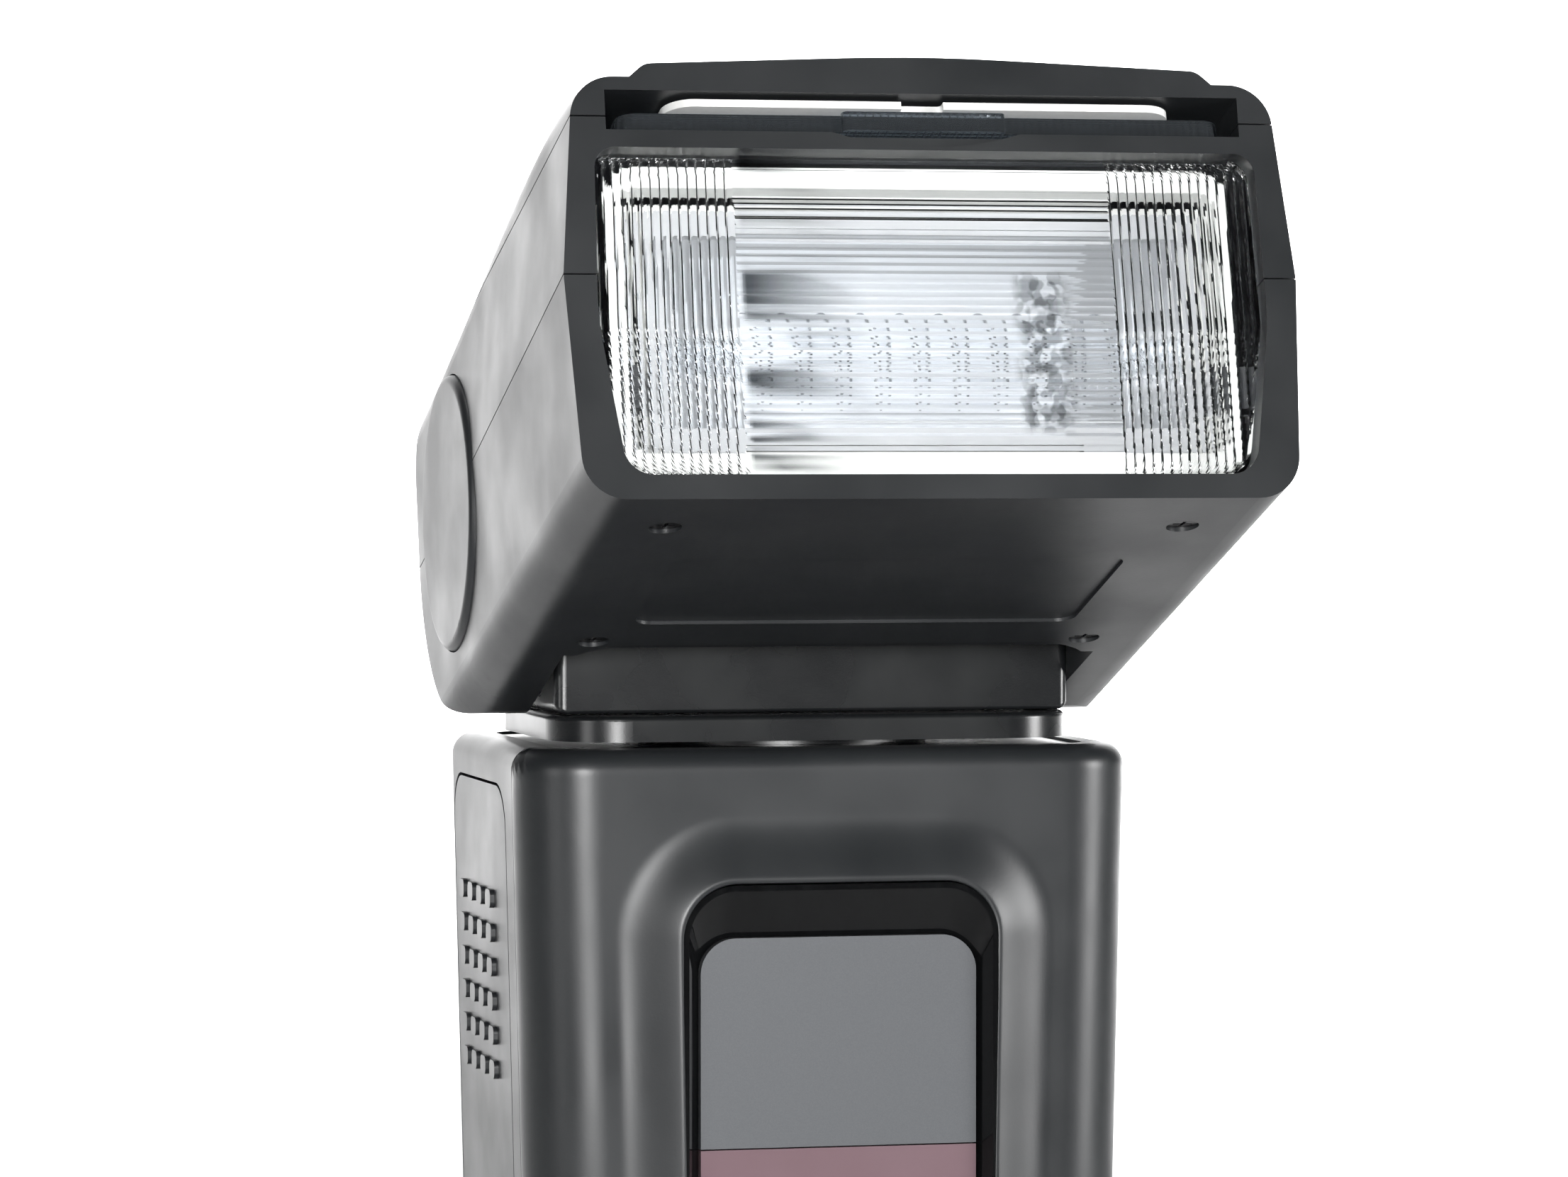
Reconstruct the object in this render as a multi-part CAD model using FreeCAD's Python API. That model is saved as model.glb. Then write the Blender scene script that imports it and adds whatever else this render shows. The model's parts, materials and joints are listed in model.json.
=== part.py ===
"""Speedlight flash: a shoe-mounted electronic flash with a tilting, swivelling, zooming head.

Frame: millimetres, +Z up, the lamp faces -Y, +X is on the right of someone facing the lamp.
The origin is the centre of the shoe foot's underside. The swivel axis is the Z axis.
Head parts are drawn level in a head frame, whose origin is the tilt pivot, and are then tilted
up by HEAD_TILT. There, a is the distance forward of the pivot (-Y) and b is the height above it.
"""

import FreeCAD, Part
import math
import os
from FreeCAD import Vector

# ---------------------------------------------------------------- driving sizes
# shoe foot, to the common 18.6 mm accessory shoe
FOOT_WIDTH = 18.6
FOOT_LENGTH = 18.0
FOOT_PLATE = 2.0
FOOT_STEM_R = 6.0
FOOT_FLANGE_T = 2.5
CONTACT_R = 1.6
LOCK_PIN_R = 0.9
LOCK_PIN_Y = -7.6
CLAMP_TRAVEL = 1.2
CLAMP_PLATE_T = 1.4
CLAMP_PLATE_R = 13.0
LOCK_RING_R = 15.0
LOCK_RING_H = 6.0
SHOE_RAIL_GAP = 2.8

# casing
CASE_BOTTOM = 15.5
CASE_HEIGHT = 79.5
CASE_WIDTH = 68.0
CASE_FRONT = -26.0
CASE_BACK = 24.0
CASE_LEAN = 0.024
CASE_WALL = 2.0
CASE_FRONT_R = 8.0
CASE_BACK_R = 6.0
CASE_TOP_R = 2.4
SEAM_Y = -17.5
SEAM_GAP = 0.16
DECK_T = 2.9
BASE_T = 2.0

# front window frame
RIM_HALF = 17.5
RIM_DROP = 14.3
RIM_BOTTOM = 19.0
RIM_R = 6.0
RIM_RISE = 2.6
SWELL = 5.6
WINDOW_HALF = 15.2
BADGE_DROP = 20.2
BADGE_LENGTH = 22.6
WINDOW_BOTTOM = 23.5
BEZEL_DEPTH = 2.1

# battery bay for four AA cells, two by two, lying along X
CELL_LENGTH = 50.5
BAY_SIDE = 29.8
BAY_BOTTOM = 20.6
BAY_FRONT = -12.4
TRAY_WALL = 0.8
DOOR_FRONT = -13.0
DOOR_BACK = 17.8
DOOR_DROP = 4.6
DOOR_BOTTOM = 15.9
DOOR_T = 1.8
DOOR_CORNER_R = 5.0
KNUCKLE_R = 1.3
GRIP_ROWS = 6
GRIP_COLUMNS = 4
GRIP_PITCH_Z = 3.76
GRIP_PITCH_Y = 5.4
GRIP_TOP_DROP = 17.2

# neck and swivel
PIVOT_RISE = 25.0
NECK_HALF = 28.75
NECK_R = 15.8
NECK_WALL = 2.0
FLANGE_HALF_Y = 19.6
FLANGE_T = 2.8
FLANGE_LIFT = 0.5
HUB_R = 16.0
HUB_BORE_R = 12.0
RETAINER_R = 18.6
AXLE_R = 4.0
AXLE_BORE_R = 2.6

# head
HEAD_TILT = 13.2
HEAD_LENGTH = 71.0
HEAD_HALF = 38.0
HEAD_REAR_HALF = 37.25
HEAD_TOP = 28.9
HEAD_BOTTOM = -14.4
HEAD_BACK = 22.0
HEAD_WALL = 2.0
HEAD_EDGE_R = 4.5
HEAD_UNDER_SLOPE = 6.0
TILT_DOWN = 7.0
TILT_UP = 90.0
PARTING_B = 0.8
PARTING_SLOPE = 0.108
HEAD_GAP = 0.16
HUMP_RISE = 2.6
HUMP_REAR = 40.0
COVER_LENGTH = 54.0
CHANNEL_GAP = 0.8
CHANNEL_WALL = 1.4
EAR_GAP = 0.65
CAP_R = 15.2
CAP_T = 1.9
LENS_T = 2.4
LENS_RECESS = 2.0
LENS_TOP = 21.6
LENS_LOW = -11.9
SLOT_HALF = 33.0
SLOT_T = 4.1
SLOT_DEPTH = 47.0
SLOT_SLOPE = 5.5
SLOT_MID = 25.45
NAIL_R = 33.0
CARD_WIDTH = 53.0
CARD_LENGTH = 44.0
CARD_T = 0.8
PANEL_WIDTH = 63.0
PANEL_LENGTH = 43.0
PANEL_T = 1.8

# zoom unit inside the head
OPTIC_B = 4.85
MOUTH_SETBACK = 11.0
MOUTH_WIDTH = 54.0
MOUTH_HEIGHT = 20.4
REFLECTOR_DEPTH = 14.0
REFLECTOR_T = 0.6
ZOOM_TRAVEL = 19.0
TUBE_R = 2.1
TUBE_HALF = 27.6
ROD_R = 1.0
ROD_X = 32.4
ROD_B = -1.6
SCREW_R = 1.2
SCREW_PITCH = 2.5
SCREW_X = 20.0
SCREW_B = -10.4
MOTOR_R = 4.0
MOTOR_LENGTH = 9.0

# back panel
LCD_HALF = 26.0
LCD_TALL = 32.0
LCD_DROP = 6.0
KEY_WIDTH = 9.0
KEY_TALL = 4.6
KEY_PITCH = 12.0
KEY_ROW_Z = 51.0
KEY_PROUD = 0.9
DIAL_Z = 33.0
DIAL_R = 12.0
DIAL_PROUD = 2.2
SET_R = 6.6
SIDE_KEY_X = 22.0
UPPER_KEY_Z = 41.5
LOWER_KEY_Z = 26.5
ROUND_KEY_R = 4.4
SWITCH_WIDTH = 7.0
SWITCH_TALL = 4.4
SWITCH_TRAVEL = 4.0

# side sockets
SOCKET_Y = -7.0
JACK_Z = 76.0
JACK_BORE_R = 1.3
JACK_BORE_LENGTH = 11.0
CONTROL_Z = 63.0
COVER_FRONT = -14.6
COVER_BACK = 0.6
COVER_BOTTOM = 55.0
COVER_TOP = 83.5
COVER_T = 1.3

# clearances: FIT between fixed parts, MOVE round moving ones, RUN on bearings
FIT = 0.15
MOVE = 0.32
RUN = 0.08
KEY_TRAVEL = 0.5
BOARD_T = 1.0
DOME_T = 0.12

# ---------------------------------------------------------------- places worked out from them
DECK_Z = CASE_BOTTOM + CASE_HEIGHT
PIVOT_Z = DECK_Z + PIVOT_RISE
CASE_MID_Y = (CASE_FRONT + CASE_BACK) / 2
BAY_BACK = BAY_FRONT + BAY_SIDE
BAY_TOP = BAY_BOTTOM + BAY_SIDE
CONTROL_BOARD_Y = BAY_BACK + TRAY_WALL + 0.2
INNER_BACK = CASE_BACK - CASE_WALL
LCD_TOP = DECK_Z - LCD_DROP
LCD_BOTTOM = LCD_TOP - LCD_TALL
CLAMP_REST_Z = FOOT_PLATE + SHOE_RAIL_GAP
RING_REST_Z = CLAMP_REST_Z + CLAMP_PLATE_T + MOVE
CHANNEL_R = NECK_R + CHANNEL_GAP
MOUTH_A = HEAD_LENGTH - MOUTH_SETBACK
FLANGE_Z = DECK_Z + FLANGE_LIFT
FLANGE_TOP = FLANGE_Z + FLANGE_T


# ---------------------------------------------------------------- shape helpers
def point(plane, u, v, w):
    """A 3-D point from two coordinates in a plane and the offset w along its normal axis."""
    return {"xy": Vector(u, v, w), "xz": Vector(u, w, v), "yz": Vector(w, u, v)}[plane]


def rounded_wire(corners, plane, w):
    """A closed wire through corners (u, v, radius), each corner rounded by a tangent arc."""
    flat = [Vector(u, v, 0) for u, v, _ in corners]
    starts, edges = [], []
    for i, (u, v, radius) in enumerate(corners):
        here = flat[i]
        back = (flat[i - 1] - here).normalize()
        ahead = (flat[(i + 1) % len(flat)] - here).normalize()
        half = back.getAngle(ahead) / 2
        reach = radius / math.tan(half)
        bisector = (back + ahead).normalize() if radius else Vector()
        middle = here + bisector * (radius / math.sin(half) - radius)
        starts.append((here + back * reach, middle, here + ahead * reach, radius))
    for i, (enter, middle, leave, radius) in enumerate(starts):
        left = starts[i - 1][2]
        if (enter - left).Length > 1e-6:
            edges.append(Part.LineSegment(point(plane, left.x, left.y, w),
                                          point(plane, enter.x, enter.y, w)).toShape())
        if radius:
            places = [point(plane, p.x, p.y, w) for p in (enter, middle, leave)]
            edges.append(Part.Arc(*places).toShape())
    return Part.Wire(edges)


def prism(corners, plane, w0, w1):
    """The rounded outline carried from w0 to w1 along the plane's normal axis."""
    face = Part.Face(rounded_wire(corners, plane, w0))
    return face.extrude(point(plane, 0, 0, w1 - w0))


def rectangle(u0, u1, v0, v1, r=0.0):
    """The four corners of a rectangle, all rounded by r."""
    return [(u0, v0, r), (u1, v0, r), (u1, v1, r), (u0, v1, r)]


def slab(u0, u1, v0, v1, r, plane, w0, w1):
    return prism(rectangle(u0, u1, v0, v1, r), plane, w0, w1)


def box(x0, x1, y0, y1, z0, z1):
    return Part.makeBox(x1 - x0, y1 - y0, z1 - z0, Vector(x0, y0, z0))


def rod(radius, start, end):
    """A solid cylinder between two points."""
    a, b = Vector(*start), Vector(*end)
    return Part.makeCylinder(radius, (b - a).Length, a, b - a)


def ring(outer, inner, start, end):
    return rod(outer, start, end).cut(rod(inner, start, end))


def frustum(corners0, w0, corners1, w1, plane):
    """A straight-sided solid from one rounded outline to another of the same make."""
    wires = [rounded_wire(corners0, plane, w0), rounded_wire(corners1, plane, w1)]
    return Part.makeLoft(wires, True, True)


def inset(corners, by):
    """An outline moved inwards by a distance, its radii shrunk to suit; corners run anticlockwise."""
    moved = []
    count = len(corners)
    lines = []
    for i in range(count):
        p, q = corners[i], corners[(i + 1) % count]
        dx, dy = q[0] - p[0], q[1] - p[1]
        size = math.hypot(dx, dy)
        lines.append((p[0] - dy / size * by, p[1] + dx / size * by, dx / size, dy / size))
    for i in range(count):
        x0, y0, dx0, dy0 = lines[i - 1]
        x1, y1, dx1, dy1 = lines[i]
        cross = dx0 * dy1 - dy0 * dx1
        t = ((x1 - x0) * dy1 - (y1 - y0) * dx1) / cross
        moved.append((x0 + dx0 * t, y0 + dy0 * t, max(corners[i][2] - by, 0.3)))
    return moved


def mirrored(corners):
    """A right-hand half outline, listed bottom to top, completed with its left-hand mirror."""
    return corners + [(-u, v, r) for u, v, r in reversed(corners)]


def fuse(first, *others):
    return first.fuse(list(others)).removeSplitter()


def fillet_where(solid, radius, wanted):
    """The solid with every edge that wanted() accepts rounded by radius."""
    chosen = [edge for edge in solid.Edges if wanted(edge)]
    return solid.makeFillet(radius, chosen)


def runs_up(edge):
    """Whether an edge climbs from one height to another."""
    ends = [v.Point for v in edge.Vertexes]
    return len(ends) == 2 and abs(ends[0].z - ends[1].z) > abs(ends[0].y - ends[1].y) + 1


def tilted(shape):
    """A head part carried from the level head frame to its place on the tilted head."""
    moved = shape.copy()
    turn = FreeCAD.Rotation(Vector(1, 0, 0), -HEAD_TILT)
    moved.Placement = FreeCAD.Placement(Vector(0, 0, PIVOT_Z), turn).multiply(moved.Placement)
    return moved


def sloped(shape):
    """A shape drawn level about the slot's mouth, turned to lie along the card slot."""
    moved = shape.copy()
    turn = FreeCAD.Rotation(Vector(1, 0, 0), -SLOT_SLOPE)
    moved.Placement = FreeCAD.Placement(Vector(0, -HEAD_LENGTH, SLOT_MID), turn).multiply(moved.Placement)
    return moved


# ---------------------------------------------------------------- casing
def case_half(z):
    """Half the casing's outer width at height z."""
    return CASE_WIDTH / 2 - CASE_LEAN * (DECK_Z - z)


def case_solid(by, bottom, top):
    """The casing's leaning, round-cornered block with each wall moved in by a distance."""
    low, high = case_half(bottom) - by, case_half(top) - by
    corners = [(-low, bottom, 0), (low, bottom, 0), (high, top, 0), (-high, top, 0)]
    block = prism(corners, "xz", CASE_FRONT + by, CASE_BACK - by)
    block = fillet_where(block, CASE_FRONT_R - by, lambda e: runs_up(e) and e.CenterOfMass.y < CASE_MID_Y)
    return fillet_where(block, CASE_BACK_R - by, lambda e: runs_up(e) and e.CenterOfMass.y > CASE_MID_Y)


def case_layer(outer, inner, bottom, top):
    """The part of the casing's wall between two depths below its outside."""
    return case_solid(outer, bottom, top).cut(case_solid(inner, bottom - 1, top + 1))


def case_shell():
    """Both casing halves in one: walls and a top rim, open below, with the deck opening cut."""
    outer = case_solid(0, CASE_BOTTOM, DECK_Z)
    outer = fillet_where(outer, CASE_TOP_R, lambda e: abs(e.BoundBox.ZMin - DECK_Z) < 1e-6)
    inner = case_solid(CASE_WALL, CASE_BOTTOM - 1, DECK_Z - CASE_WALL)
    return outer.cut(inner).cut(prism(deck_outline(0), "xy", DECK_Z - 5, DECK_Z + 1))


def deck_outline(by):
    """The deck opening in the casing's top, moved in by a distance."""
    half = CASE_WIDTH / 2 - 4.5 - by
    return rectangle(-half, half, CASE_FRONT + 4.5 + by, CASE_BACK - 4.5 - by, 5.0 - by)


def rim_outline(by):
    """The raised window frame's edge, moved in by a distance."""
    half = RIM_HALF - by
    return rectangle(-half, half, RIM_BOTTOM + by, DECK_Z - RIM_DROP - by, RIM_R - by)


def body_front_shell():
    shell = case_shell().common(box(-50, 50, CASE_FRONT - 10, SEAM_Y - SEAM_GAP / 2, 0, DECK_Z + 1))
    low_swell = min(SWELL, RIM_BOTTOM - CASE_BOTTOM - 0.3)
    half = RIM_HALF + SWELL
    foot = rectangle(-half, half, RIM_BOTTOM - low_swell, DECK_Z - RIM_DROP + SWELL, RIM_R + low_swell)
    swell = frustum(foot, CASE_FRONT + 0.3, rim_outline(-0.3), CASE_FRONT - RIM_RISE, "xz")
    opening = prism(rim_outline(0), "xz", CASE_FRONT - 10, CASE_FRONT + CASE_WALL + 1)
    return shell.fuse(swell).cut(opening)


def window_bezel():
    """The dark frame that slopes down from the rim to the badge and the red window."""
    front = CASE_FRONT - RIM_RISE + 0.2
    block = prism(rim_outline(FIT), "xz", front, CASE_FRONT + CASE_WALL)
    mouth = rim_outline(FIT + 0.6)
    seat_y = front + BEZEL_DEPTH
    slope = frustum(mouth, front - 0.01, window_outline(0), seat_y, "xz")
    seat = prism(window_outline(0), "xz", seat_y - 0.01, seat_y + 1.0)
    half = WINDOW_HALF - 3
    light_way = slab(-half, half, WINDOW_BOTTOM + 3, DECK_Z - BADGE_DROP - BADGE_LENGTH - 3, 3, "xz",
                     seat_y, CASE_FRONT + CASE_WALL + 1)
    return block.cut(slope).cut(seat).cut(light_way)


def window_outline(by):
    """The seat that the badge and the red window share, moved in by a distance."""
    half = WINDOW_HALF + FIT - by
    return rectangle(-half, half, WINDOW_BOTTOM + by, DECK_Z - BADGE_DROP + FIT - by, 4.0 - by)


def window_piece(low, high):
    """The part of the seat's filling between two heights, standing just proud of the slope's foot."""
    seat_y = CASE_FRONT - RIM_RISE + 0.2 + BEZEL_DEPTH
    filling = prism(window_outline(FIT), "xz", seat_y - 0.7, seat_y + 1.0)
    return filling.common(box(-40, 40, -60, 0, low, high))


def badge_panel():
    return window_piece(DECK_Z - BADGE_DROP - BADGE_LENGTH + FIT / 2, DECK_Z)


def sensor_window():
    return window_piece(0, DECK_Z - BADGE_DROP - BADGE_LENGTH - FIT / 2)


def af_assist_lamp():
    """Focus lamp and light sensor on their small board behind the red window."""
    board_y = CASE_FRONT + CASE_WALL + 4.2
    lamp_z = (WINDOW_BOTTOM + DECK_Z - BADGE_DROP - BADGE_LENGTH) / 2
    board = slab(-10, 10, lamp_z - 9, lamp_z + 9, 1, "xz", board_y, board_y + 1.2)
    barrel = rod(3.6, (-4.4, board_y, lamp_z), (-4.4, board_y - 2.4, lamp_z))
    ball = Part.makeSphere(3.0, Vector(-4.4, board_y - 2.4, lamp_z))
    dome = ball.common(box(-20, 20, -60, board_y - 2.4, 0, 99))
    sensor = slab(2.2, 6.8, lamp_z - 2.3, lamp_z + 2.3, 0.6, "xz", board_y - 1.8, board_y)
    return fuse(board, barrel, dome, sensor)


def door_outline(by):
    """The battery door's edge on the casing's side, moved in by a distance; its foot stays put."""
    top = DECK_Z - DOOR_DROP - by
    return [(DOOR_FRONT + by, DOOR_BOTTOM, 0), (DOOR_BACK - by, DOOR_BOTTOM, 0),
            (DOOR_BACK - by, top, DOOR_CORNER_R), (DOOR_FRONT + by, top, DOOR_CORNER_R)]


def screw_holes():
    """Seats for the four base screws."""
    return Part.makeCompound([rod(1.6, (x, y, CASE_BOTTOM - 1), (x, y, CASE_BOTTOM + 1.2))
                              for x, y in base_screw_places()])


def base_screw_places():
    return [(x, y) for x in (-22.0, 22.0) for y in (CASE_FRONT + 7.0, CASE_BACK - 7.0)]


def body_rear_shell():
    shell = case_shell().common(box(-50, 50, SEAM_Y + SEAM_GAP / 2, 60, 0, DECK_Z + 1))
    lip_outer = case_solid(CASE_WALL + 0.1, CASE_BOTTOM + BASE_T + 0.3, DECK_Z - CASE_WALL - 1.5)
    lip_inner = case_solid(CASE_WALL + 1.0, CASE_BOTTOM, DECK_Z)
    lip = lip_outer.cut(lip_inner).common(box(-50, 50, SEAM_Y - 2, SEAM_Y + 2, 0, 200))
    root = case_solid(CASE_WALL - 0.05, CASE_BOTTOM + BASE_T + 0.3, DECK_Z - CASE_WALL - 1.5)
    root = root.cut(lip_inner).common(box(-50, 50, SEAM_Y + SEAM_GAP / 2, SEAM_Y + 2, 0, 200))
    shell = shell.fuse([lip, root])
    doorway = [(y, z - 2 if z < 20 else z, r) for y, z, r in door_outline(-MOVE)]
    shell = shell.cut(prism(doorway, "yz", -60, -case_half(CASE_BOTTOM) + CASE_WALL + 2.5))
    shell = shell.fuse(socket_boss()).cut(socket_recess())
    return cut_back_panel(shell)


def cut_back_panel(shell):
    """The display, key, dial and switch openings in the casing's back."""
    seat = slab(-LCD_HALF - FIT, LCD_HALF + FIT, LCD_BOTTOM - FIT, LCD_TOP + FIT, 2.5, "xz",
                CASE_BACK - 1.0, CASE_BACK + 1)
    view = slab(-LCD_HALF + 1.5, LCD_HALF - 1.5, LCD_BOTTOM + 1.5, LCD_TOP - 1.5, 1.5, "xz",
                INNER_BACK - 1, CASE_BACK + 1)
    boss = rod(DIAL_R + 1.5, (0, INNER_BACK - 0.9, DIAL_Z), (0, INNER_BACK + 0.1, DIAL_Z))
    shell = shell.fuse(boss).cut(seat).cut(view)
    shell = shell.cut(rod(DIAL_R + MOVE, (0, CASE_BACK - 1.3 - MOVE, DIAL_Z), (0, CASE_BACK + 1, DIAL_Z)))
    shell = shell.cut(rod(dial_sleeve_r() + RUN, (0, INNER_BACK - 2, DIAL_Z), (0, CASE_BACK + 1, DIAL_Z)))
    for x in key_row():
        shell = shell.cut(key_prism(x, KEY_ROW_Z, MOVE, INNER_BACK - 1, CASE_BACK + 1))
    for z in (UPPER_KEY_Z, LOWER_KEY_Z):
        shell = shell.cut(key_prism(SIDE_KEY_X, z, MOVE, INNER_BACK - 1, CASE_BACK + 1))
    shell = shell.cut(rod(ROUND_KEY_R + MOVE, (-SIDE_KEY_X, INNER_BACK - 1, UPPER_KEY_Z),
                          (-SIDE_KEY_X, CASE_BACK + 1, UPPER_KEY_Z)))
    return shell.cut(switch_track())


def switch_track():
    """The shallow recess and the slot that the power switch slides in."""
    reach = SWITCH_WIDTH / 2 + SWITCH_TRAVEL / 2 + MOVE
    mid = -SIDE_KEY_X
    tall = SWITCH_TALL / 2 + MOVE
    dish = slab(mid - reach, mid + reach, LOWER_KEY_Z - tall, LOWER_KEY_Z + tall, 1.2, "xz",
                CASE_BACK - 1, CASE_BACK + 1)
    reach = 1.5 + SWITCH_TRAVEL / 2 + MOVE
    slot = slab(mid - reach, mid + reach, LOWER_KEY_Z - 1.1 - MOVE, LOWER_KEY_Z + 1.1 + MOVE, 0.5,
                "xz", INNER_BACK - 1, CASE_BACK)
    return dish.fuse(slot)


def body_top_deck():
    """The flat deck under the neck, held below the casing's top rim, with the swivel bore."""
    plate = prism(deck_outline(FIT), "xy", DECK_Z - DECK_T - 0.3, DECK_Z - 0.3)
    flange = prism(deck_outline(-1.6), "xy", DECK_Z - DECK_T - 0.3, DECK_Z - CASE_WALL - 0.1)
    bearing = rod(HUB_R + RUN, (0, 0, DECK_Z - 10), (0, 0, DECK_Z + 1))
    return plate.fuse(flange).removeSplitter().cut(bearing)


def body_base_plate():
    """The casing's floor, let in between its walls, cut back where the battery door slides past."""
    plate = case_solid(CASE_WALL + FIT, CASE_BOTTOM, CASE_BOTTOM + BASE_T)
    door_way = box(-60, hinge_place()[0] + 2.5 + MOVE, DOOR_FRONT - 0.6, DOOR_BACK + 0.6, 0, 40)
    plate = plate.cut(door_way).cut(screw_holes())
    for x, y in base_screw_places() + foot_screw_places():
        plate = plate.cut(rod(0.9, (x, y, 0), (x, y, CASE_BOTTOM + BASE_T + 1)))
    return plate


# ---------------------------------------------------------------- shoe foot
def foot_screw_places():
    return [(x, y) for x in (-12.0, 12.0) for y in (-10.0, 10.0)]


def foot_key(by, z0, z1):
    """The straight-sided key under the foot's stem, grown by a distance."""
    half = FOOT_STEM_R + by
    return slab(-half, half, -half, half, 0.8, "xy", z0, z1)


def shoe_foot():
    plate = slab(-FOOT_WIDTH / 2, FOOT_WIDTH / 2, -FOOT_LENGTH / 2, FOOT_LENGTH / 2, 1.0, "xy", 0,
                 FOOT_PLATE)
    key = foot_key(0, FOOT_PLATE, CLAMP_REST_Z + CLAMP_PLATE_T)
    stem = rod(FOOT_STEM_R, (0, 0, FOOT_PLATE), (0, 0, CASE_BOTTOM))
    flange = slab(-16, 16, -14, 14, 4, "xy", CASE_BOTTOM - FOOT_FLANGE_T, CASE_BOTTOM)
    foot = fuse(plate, key, stem, flange)
    foot = foot.cut(rod(LOCK_PIN_R + RUN, (0, LOCK_PIN_Y, -1), (0, LOCK_PIN_Y, FOOT_PLATE + 1)))
    foot = foot.cut(rod(CONTACT_R, (0, 0, -1), (0, 0, 1.4)))
    for x, y in foot_screw_places():
        foot = foot.cut(rod(0.9, (x, y, 0), (x, y, CASE_BOTTOM + 1)))
        foot = foot.cut(rod(1.8, (x, y, CASE_BOTTOM - FOOT_FLANGE_T - 1),
                            (x, y, CASE_BOTTOM - FOOT_FLANGE_T + 1.2)))
    return foot


def shoe_contact():
    return rod(CONTACT_R, (0, 0, 0), (0, 0, 1.4))


def clamp_plate():
    disc = rod(CLAMP_PLATE_R, (0, 0, CLAMP_REST_Z), (0, 0, CLAMP_REST_Z + CLAMP_PLATE_T))
    return disc.cut(foot_key(MOVE, CLAMP_REST_Z - 1, CLAMP_REST_Z + CLAMP_PLATE_T + 1))


def lock_pin():
    """The pin that drops into the camera shoe; it hangs from the clamp plate."""
    return rod(LOCK_PIN_R, (0, LOCK_PIN_Y, 0.2), (0, LOCK_PIN_Y, CLAMP_REST_Z))


def lock_ring():
    """The threaded hand wheel, with a finger groove at each knurl."""
    top = RING_REST_Z + LOCK_RING_H
    wheel = rod(LOCK_RING_R, (0, 0, RING_REST_Z), (0, 0, top))
    wheel = wheel.makeChamfer(0.7, [e for e in wheel.Edges if e.BoundBox.ZLength < 1e-6])
    wheel = wheel.cut(rod(FOOT_STEM_R + RUN, (0, 0, RING_REST_Z - 1), (0, 0, top + 1)))
    key_room = FOOT_STEM_R * math.sqrt(2) + 0.5
    wheel = wheel.cut(rod(key_room, (0, 0, RING_REST_Z - 1), (0, 0, RING_REST_Z + CLAMP_TRAVEL + 0.1)))
    knurls = 28
    groove = rod(0.9, (LOCK_RING_R + 0.35, 0, RING_REST_Z - 1), (LOCK_RING_R + 0.35, 0, top + 1))
    grooves = []
    for i in range(knurls):
        turned = groove.copy()
        turned.rotate(Vector(), Vector(0, 0, 1), 360 / knurls * i)
        grooves.append(turned)
    return wheel.cut(grooves)


def case_screws():
    """Four base screws and four foot screws, each with a domed head and a cross recess."""
    heads = []
    for x, y in base_screw_places():
        heads.append(screw(x, y, CASE_BOTTOM + 0.2, 1.5, 0.8, BASE_T + 1.8))
    for x, y in foot_screw_places():
        heads.append(screw(x, y, CASE_BOTTOM - FOOT_FLANGE_T + 0.2, 1.7, 0.8, FOOT_FLANGE_T + BASE_T + 1))
    return Part.makeCompound(heads)


def screw(x, y, z, head_r, thread_r, length):
    """A screw driven upwards: its head starts at z and its thread ends length above that."""
    head = rod(head_r, (x, y, z), (x, y, z + 1.0))
    thread = rod(thread_r, (x, y, z), (x, y, z + length))
    recess = [slab(x - 1.0, x + 1.0, y - 0.18, y + 0.18, 0, "xy", z - 1, z + 0.6),
              slab(x - 0.18, x + 0.18, y - 1.0, y + 1.0, 0, "xy", z - 1, z + 0.6)]
    return head.fuse(thread).cut(recess)


# ---------------------------------------------------------------- battery bay and door
def bay_mouth():
    """X of the battery bay's open end, just inside the door."""
    return -case_half(CASE_BOTTOM) + DOOR_T + 1.9


def bay_end():
    """X of the wall that the cells' inner ends press against."""
    return bay_mouth() + CELL_LENGTH + 1.3


def battery_tray():
    wall = TRAY_WALL
    outer = box(bay_mouth() - 1.2, bay_end() + wall, BAY_FRONT - wall, BAY_BACK + wall,
                BAY_BOTTOM - wall, BAY_TOP + wall)
    bay = box(bay_mouth() - 2, bay_end(), BAY_FRONT, BAY_BACK, BAY_BOTTOM, BAY_TOP)
    return outer.cut(bay)


def cell_centres():
    quarter = BAY_SIDE / 4
    return [(BAY_FRONT + quarter * i, BAY_BOTTOM + quarter * j) for i in (1, 3) for j in (1, 3)]


def tray_contacts():
    """The bay's inner contacts: a plate and a flat-wound coil spring for each cell."""
    contacts = []
    for y, z in cell_centres():
        plate = slab(y - 4.6, y + 4.6, z - 4.6, z + 4.6, 1, "yz", bay_end() - 0.3, bay_end())
        turns = [ring(3.4 - 0.7 * i, 2.8 - 0.7 * i, (bay_end() - 0.3 - 0.35 * i, y, z),
                      (bay_end() - 0.7 - 0.35 * i, y, z)) for i in range(3)]
        contacts.append(plate.fuse(turns).removeSplitter())
    return Part.makeCompound(contacts)


def door_x(z):
    """X of the door's outer face at height z."""
    return -case_half(z)


def hinge_place():
    """(x, z) of the door's hinge pin."""
    return door_x(DOOR_BOTTOM) + DOOR_T + 0.4, DOOR_BOTTOM + 1.7


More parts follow.
